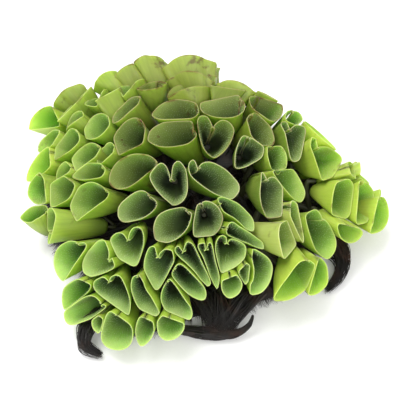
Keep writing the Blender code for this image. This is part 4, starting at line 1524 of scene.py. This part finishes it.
def make_stems(roots_settings):
    """The creeping stems with their branches and the root-like leaves that hang from them."""
    material = material_of("salvinia rhizome", stem_material)
    fibre = material_of("salvinia root fibre", root_material)
    petioles = petiole_lines()
    for name in STEM_PATHS:
        guides = stem_lines(name)
        piece = grow(f"{name}_rhizome", guides, [NO_BUNDLE] * len(guides), {
            "Strands": 1, "Points": 24, "Strand Radius": STEM_RADIUS * MM, "Waviness": 0.0,
            "Sides": 12, "Seed": 1, "End Share": 0.6, "Material": material,
        })
        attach(piece, BODY)
        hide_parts(name)
        stalks = grow(f"{name}_petioles", petioles[name], [NO_BUNDLE] * len(petioles[name]), {
            "Strands": 1, "Points": STALK_POINTS, "Strand Radius": STALK_RADIUS * MM,
            "Waviness": 0.0, "Sides": 8, "Seed": 1, "End Share": 0.8, "Material": material,
        })
        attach(stalks, BODY)
        hanging = hanging_roots(guides)
        roots = grow(f"{name}_root_fibres", hanging, [ROOT_BUNDLE] * len(hanging), {
            "Strands": roots_settings.stem_strands, "Points": 9,
            "Strand Radius": roots_settings.strand_radius, "Waviness": 1.4,
            "Sides": FIBRE_SIDES, "Seed": 9, "Material": fibre,
        })
        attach(roots, BODY)


def make_tassels(settings):
    """The bundles of root-like leaves that trail out of the mat."""
    for name, rows in TASSELS.items():
        line = smooth_line([p for p, _ in rows], TASSEL_POINTS)
        radii = smooth_line([(r, 0.0) for _, r in rows], TASSEL_POINTS)[:, 0]
        piece = grow(f"{name}_fibres", [line], [radii * TASSEL_SHARE], {
            "Strands": settings.tassel_strands, "Points": 20,
            "Strand Radius": settings.strand_radius, "Waviness": 0.9,
            "Sides": FIBRE_SIDES, "Seed": 3,
            "Material": material_of("salvinia root fibre", root_material),
        })
        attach(piece, BODY)
        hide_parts(name)


class MatGround:
    """The edge of the mat in plan and the height of its solid."""

    def __init__(self):
        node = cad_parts["root_mat"]
        self.solid = BVHTree.FromPolygons([v.co for v in node.data.vertices],
                                          [tuple(p.vertices) for p in node.data.polygons])
        self.edge = smooth_line(list(MAT_EDGE) + [MAT_EDGE[0]], MAT_COLUMNS + 1)[:-1]
        self.middle = np.mean(np.array(MAT_EDGE, float), axis=0)

    def height(self, x, y, beside):
        """The top of the solid there, or the height given where there is none."""
        above = Vector(to_metres((x, y, MAT_LOOKOUT)))
        hit = self.solid.ray_cast(above, Vector((0, 0, -1)))[0]
        return hit.z / MM if hit else beside

    def rim_at(self, share):
        """A point of the edge, by how far round the mat it is."""
        return self.edge[int(share * len(self.edge)) % len(self.edge)]

    def place(self, share, rim):
        return self.middle + (rim - self.middle) * share


def make_mat_body(ground, material):
    """The dense heart of the mat, lumpy on top and sunk near its edge."""
    count = len(ground.edge)
    vertices = []
    for r in range(MAT_RINGS):
        share = (r + 1) / MAT_RINGS * BODY_SHARE
        for x, y in ground.place(share, ground.edge):
            lumps = math.sin(x * 1.1 + 0.6 * y) * math.sin(y * 0.9 - 0.4 * x) * LUMP_HEIGHT
            sunk = BODY_SUNK + EDGE_SUNK * max(share - SINKS_FROM, 0.0) / SINKS_OVER
            height = ground.height(x, y, 1.0) - sunk + lumps
            vertices.append((x, y, max(height, BODY_LOWEST)))
    for x, y in ground.place(BODY_SHARE, ground.edge):
        vertices.append((x, y, 0.0))
    faces = []
    for r in range(MAT_RINGS):
        for k in range(count):
            a = r * count + k
            b = r * count + (k + 1) % count
            faces.append((a, b, b + count, a + count))
    top = len(vertices)
    vertices.append((*ground.middle, ground.height(*ground.middle, 1.0) - LUMP_HEIGHT))
    vertices.append((*ground.middle, 0.0))
    last = MAT_RINGS * count
    for k in range(count):
        faces.append((k, (k + 1) % count, top))
        faces.append((last + k, last + (k + 1) % count, top + 1))
    body = new_mesh("root_mat_body", to_metres(vertices), faces, [material])
    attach(body, BODY)
    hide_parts("root_mat")


def lying_lines(ground, chance):
    """Guides that lie on the mat, outwards from its middle and a little swayed."""
    lines = []
    for k in range(LYING):
        angle = 2 * math.pi * (k + chance.uniform(-LYING_JITTER, LYING_JITTER)) / LYING
        rim = ground.rim_at((k + chance.uniform(-LYING_JITTER, LYING_JITTER)) / LYING)
        inner = chance.uniform(*LYING_STARTS)
        sway = chance.uniform(-LYING_SWAY, LYING_SWAY)
        line = []
        for t in np.linspace(inner, 1.0, LYING_POINTS):
            x, y = ground.place(t, rim)
            x += sway * math.sin(math.pi * (t - inner)) * -math.sin(angle)
            y += sway * math.sin(math.pi * (t - inner)) * math.cos(angle)
            line.append((x, y, max(ground.height(x, y, 0.6) - 0.1, 0.7)))
        lines.append(line)
    return lines


def fringe_lines(ground, chance):
    """Guides that hang over the mat's edge to the floor."""
    lines = []
    for k in range(FRINGE):
        rim = ground.rim_at((k + chance.uniform(-FRINGE_JITTER, FRINGE_JITTER)) / FRINGE)
        lean = chance.uniform(-FRINGE_LEAN, FRINGE_LEAN, 2)
        height = ground.height(*ground.place(0.88, rim), 4.0)
        line = []
        for t in np.linspace(0.0, 1.0, FRINGE_POINTS):
            x, y = ground.place(0.86 + 0.13 * t, rim) + lean * t
            line.append((x, y, max(height * (1 - t ** 2.2), 0.3)))
        lines.append(line)
    return lines


def gathered_lines(chance):
    """Guides that gather from under the front leaves into the curled tassel."""
    drop = np.linspace(0, 1, GATHERED_POINTS)[:, None]
    lines = []
    for _ in range(GATHERED):
        start = np.array([chance.uniform(*limits) for limits in GATHERED_FROM])
        end = np.array([chance.uniform(*limits) for limits in GATHERED_TO])
        lines.append(start + (end - start) * drop + np.sin(drop * math.pi) * (0, 0, 0.8))
    return lines


def make_mat(settings):
    """The mat of root-like leaves under the clump: its body and three kinds of loose strands."""
    material = material_of("salvinia root fibre", root_material)
    ground = MatGround()
    make_mat_body(ground, material)
    chance = np.random.default_rng(MAT_SEED)
    for name, guides, points in (
        ("root_mat_fibres", lying_lines(ground, chance), LYING_POINTS),
        ("root_mat_fringe", fringe_lines(ground, chance), FRINGE_POINTS),
        ("root_mat_gathered", gathered_lines(chance), GATHERED_POINTS),
    ):
        piece = grow(name, guides, [MAT_BUNDLE] * len(guides), {
            "Strands": settings.mat_strands, "Points": points,
            "Strand Radius": settings.strand_radius, "Waviness": 1.2, "Sides": FIBRE_SIDES,
            "Seed": 5, "Material": material,
        })
        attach(piece, BODY)


def card_material(name):
    """Matt white card: uncoated paper board with a faint grain."""
    material, tree, shader = new_material(name)
    grain = noise(tree, object_place(tree), 900.0)
    colour = blend(tree, grain, linear("#FBFBFB"), linear("#F6F6F5"))
    tree.links.new(colour, shader.inputs["Base Color"])
    shader.inputs["Roughness"].default_value = 0.9
    shader.inputs["Specular IOR Level"].default_value = 0.1
    return material


def make_stage(settings):
    """The floor, the lights and the camera."""
    scene = bpy.context.scene
    corners = [(x * FLOOR_REACH, y * FLOOR_REACH, 0) for x, y in ((-1, -1), (1, -1), (1, 1), (-1, 1))]
    floor = new_mesh("floor", corners, [(0, 1, 2, 3)],
                     [material_of("matt white card", card_material)])

    world = bpy.data.worlds.new("soft studio")
    world.use_nodes = True
    back = world.node_tree.nodes["Background"]
    back.inputs["Color"].default_value = linear("#FFFFFF")
    back.inputs["Strength"].default_value = settings.fill
    scene.world = world
    for name, place, energy in (
        ("key", KEY_PLACE, settings.key), ("front", FRONT_PLACE, settings.front),
    ):
        light = bpy.data.lights.new(name, "AREA")
        light.size = LIGHT_SIZE
        light.energy = energy
        lamp = bpy.data.objects.new(name, light)
        lamp.location = place
        lamp.rotation_euler = (LIT_POINT - Vector(place)).to_track_quat("-Z", "Y").to_euler()
        scene.collection.objects.link(lamp)
    camera = bpy.data.cameras.new("photo camera")
    camera.lens = LENS
    camera.sensor_width = SENSOR
    camera.clip_start = 0.01
    eye = bpy.data.objects.new("photo camera", camera)
    eye.location = to_metres(EYE)
    eye.rotation_euler = (math.pi / 2 - PHOTO_ELEVATION, 0, 0)
    scene.collection.objects.link(eye)
    scene.camera = eye
    scene.view_settings.view_transform = "Standard"


class SalviniaLeaves(bpy.types.PropertyGroup):
    thickness: bpy.props.FloatProperty(
        name="Blade thickness", description="Thickness of the fleshy blade", default=0.0007,
        unit="LENGTH")
    fullness: bpy.props.FloatProperty(
        name="Fullness", description="Size of the mouths before their neighbours press on them",
        default=1.2)
    hair_spacing: bpy.props.FloatProperty(
        name="Hair spacing", description="Distance between the hairs inside a blade",
        default=0.0008, unit="LENGTH")
    hair_length: bpy.props.FloatProperty(
        name="Hair length", description="Length of one hair inside a blade", default=0.0005,
        unit="LENGTH")


class SalviniaRoots(bpy.types.PropertyGroup):
    strand_radius: bpy.props.FloatProperty(
        name="Strand radius", description="Radius of one root-like strand", default=0.00022,
        unit="LENGTH")
    tassel_strands: bpy.props.IntProperty(
        name="Tassel strands", description="Strands in each trailing bundle", default=200)
    mat_strands: bpy.props.IntProperty(
        name="Mat strands", description="Strands along each guide over the mat", default=9)
    stem_strands: bpy.props.IntProperty(
        name="Stem strands", description="Strands in each bundle under a stem", default=7)


class SalviniaStage(bpy.types.PropertyGroup):
    fill: bpy.props.FloatProperty(
        name="Fill", description="Strength of the white surroundings", default=0.85)
    key: bpy.props.FloatProperty(
        name="Key light", description="Power of the light above the clump", default=4.0)
    front: bpy.props.FloatProperty(
        name="Front light", description="Power of the light before the clump", default=3.0)


class LeafRow:
    """Makes one group of leaves."""

    bl_options = {"REGISTER", "UNDO"}
    group = ""

    def execute(self, context):
        names = [name for name in layout() if name.startswith(self.group)]
        if not names:
            raise RuntimeError(f"no leaf is named {self.group}")
        row = self.bl_label.lower().replace(" ", "_")
        make_leaves(row, names, context.scene.salvinia_leaves)
        return {"FINISHED"}


class SALVINIA_OT_front_leaves(LeafRow, bpy.types.Operator):
    """Make the fresh leaves at the front"""

    bl_idname = "salvinia.front_leaves"
    bl_label = "Front leaves"
    group = "front_leaf"


class SALVINIA_OT_middle_leaves(LeafRow, bpy.types.Operator):
    """Make the big leaves in the middle"""

    bl_idname = "salvinia.middle_leaves"
    bl_label = "Middle leaves"
    group = "middle_leaf"


class SALVINIA_OT_left_leaves(LeafRow, bpy.types.Operator):
    """Make the leaves on the left"""

    bl_idname = "salvinia.left_leaves"
    bl_label = "Left leaves"
    group = "left_leaf"


class SALVINIA_OT_back_leaves(LeafRow, bpy.types.Operator):
    """Make the leaves at the back"""

    bl_idname = "salvinia.back_leaves"
    bl_label = "Back leaves"
    group = "back_leaf"


class SALVINIA_OT_right_leaves(LeafRow, bpy.types.Operator):
    """Make the leaves on the right"""

    bl_idname = "salvinia.right_leaves"
    bl_label = "Right leaves"
    group = "right_leaf"


class SALVINIA_OT_corner_leaves(LeafRow, bpy.types.Operator):
    """Make the leaves at the near right corner"""

    bl_idname = "salvinia.corner_leaves"
    bl_label = "Corner leaves"
    group = "corner_leaf"


class SALVINIA_OT_small_leaves(LeafRow, bpy.types.Operator):
    """Make the small, half-hidden and far leaves of every stem"""

    bl_idname = "salvinia.small_leaves"
    bl_label = "Small leaves"
    group = "stem_"


class SALVINIA_OT_stems(bpy.types.Operator):
    """Make the creeping stems"""

    bl_idname = "salvinia.stems"
    bl_label = "Stems"
    bl_options = {"REGISTER", "UNDO"}

    def execute(self, context):
        make_stems(context.scene.salvinia_roots)
        return {"FINISHED"}


class SALVINIA_OT_tassels(bpy.types.Operator):
    """Make the trailing bundles of root-like leaves"""

    bl_idname = "salvinia.tassels"
    bl_label = "Root tassels"
    bl_options = {"REGISTER", "UNDO"}

    def execute(self, context):
        make_tassels(context.scene.salvinia_roots)
        return {"FINISHED"}


class SALVINIA_OT_mat(bpy.types.Operator):
    """Make the mat of root-like leaves"""

    bl_idname = "salvinia.mat"
    bl_label = "Root mat"
    bl_options = {"REGISTER", "UNDO"}

    def execute(self, context):
        make_mat(context.scene.salvinia_roots)
        return {"FINISHED"}


class SALVINIA_OT_stage(bpy.types.Operator):
    """Make the floor, the lights and the camera"""

    bl_idname = "salvinia.stage"
    bl_label = "Stage"
    bl_options = {"REGISTER", "UNDO"}

    def execute(self, context):
        make_stage(context.scene.salvinia_stage)
        return {"FINISHED"}


OPERATORS = (
    SALVINIA_OT_front_leaves, SALVINIA_OT_middle_leaves, SALVINIA_OT_left_leaves,
    SALVINIA_OT_back_leaves, SALVINIA_OT_right_leaves, SALVINIA_OT_corner_leaves,
    SALVINIA_OT_small_leaves, SALVINIA_OT_stems, SALVINIA_OT_tassels, SALVINIA_OT_mat,
    SALVINIA_OT_stage,
)


class SALVINIA_PT_panel(bpy.types.Panel):
    """Lists the pieces of the clump"""

    bl_idname = "SALVINIA_PT_panel"
    bl_label = "Salvinia clump"
    bl_space_type = "VIEW_3D"
    bl_region_type = "UI"
    bl_category = "Salvinia"

    def draw(self, context):
        for group in ("salvinia_leaves", "salvinia_roots", "salvinia_stage"):
            box = self.layout.box()
            settings = getattr(context.scene, group)
            for name in settings.bl_rna.properties.keys():
                if name not in ("rna_type", "name"):
                    box.prop(settings, name)
        for operator in OPERATORS:
            self.layout.operator(operator.bl_idname)


CLASSES = (SalviniaLeaves, SalviniaRoots, SalviniaStage, *OPERATORS, SALVINIA_PT_panel)


def register():
    for each in CLASSES:
        bpy.utils.register_class(each)
    bpy.types.Scene.salvinia_leaves = bpy.props.PointerProperty(type=SalviniaLeaves)
    bpy.types.Scene.salvinia_roots = bpy.props.PointerProperty(type=SalviniaRoots)
    bpy.types.Scene.salvinia_stage = bpy.props.PointerProperty(type=SalviniaStage)


def unregister():
    del bpy.types.Scene.salvinia_leaves
    del bpy.types.Scene.salvinia_roots
    del bpy.types.Scene.salvinia_stage
    for each in reversed(CLASSES):
        bpy.utils.unregister_class(each)


def main():
    register()
    bpy.ops.salvinia.front_leaves()
    bpy.ops.salvinia.middle_leaves()
    bpy.ops.salvinia.left_leaves()
    bpy.ops.salvinia.back_leaves()
    bpy.ops.salvinia.right_leaves()
    bpy.ops.salvinia.corner_leaves()
    bpy.ops.salvinia.small_leaves()
    bpy.ops.salvinia.stems()
    bpy.ops.salvinia.tassels()
    bpy.ops.salvinia.mat()
    bpy.ops.salvinia.stage()


if __name__ == "__main__":
    main()
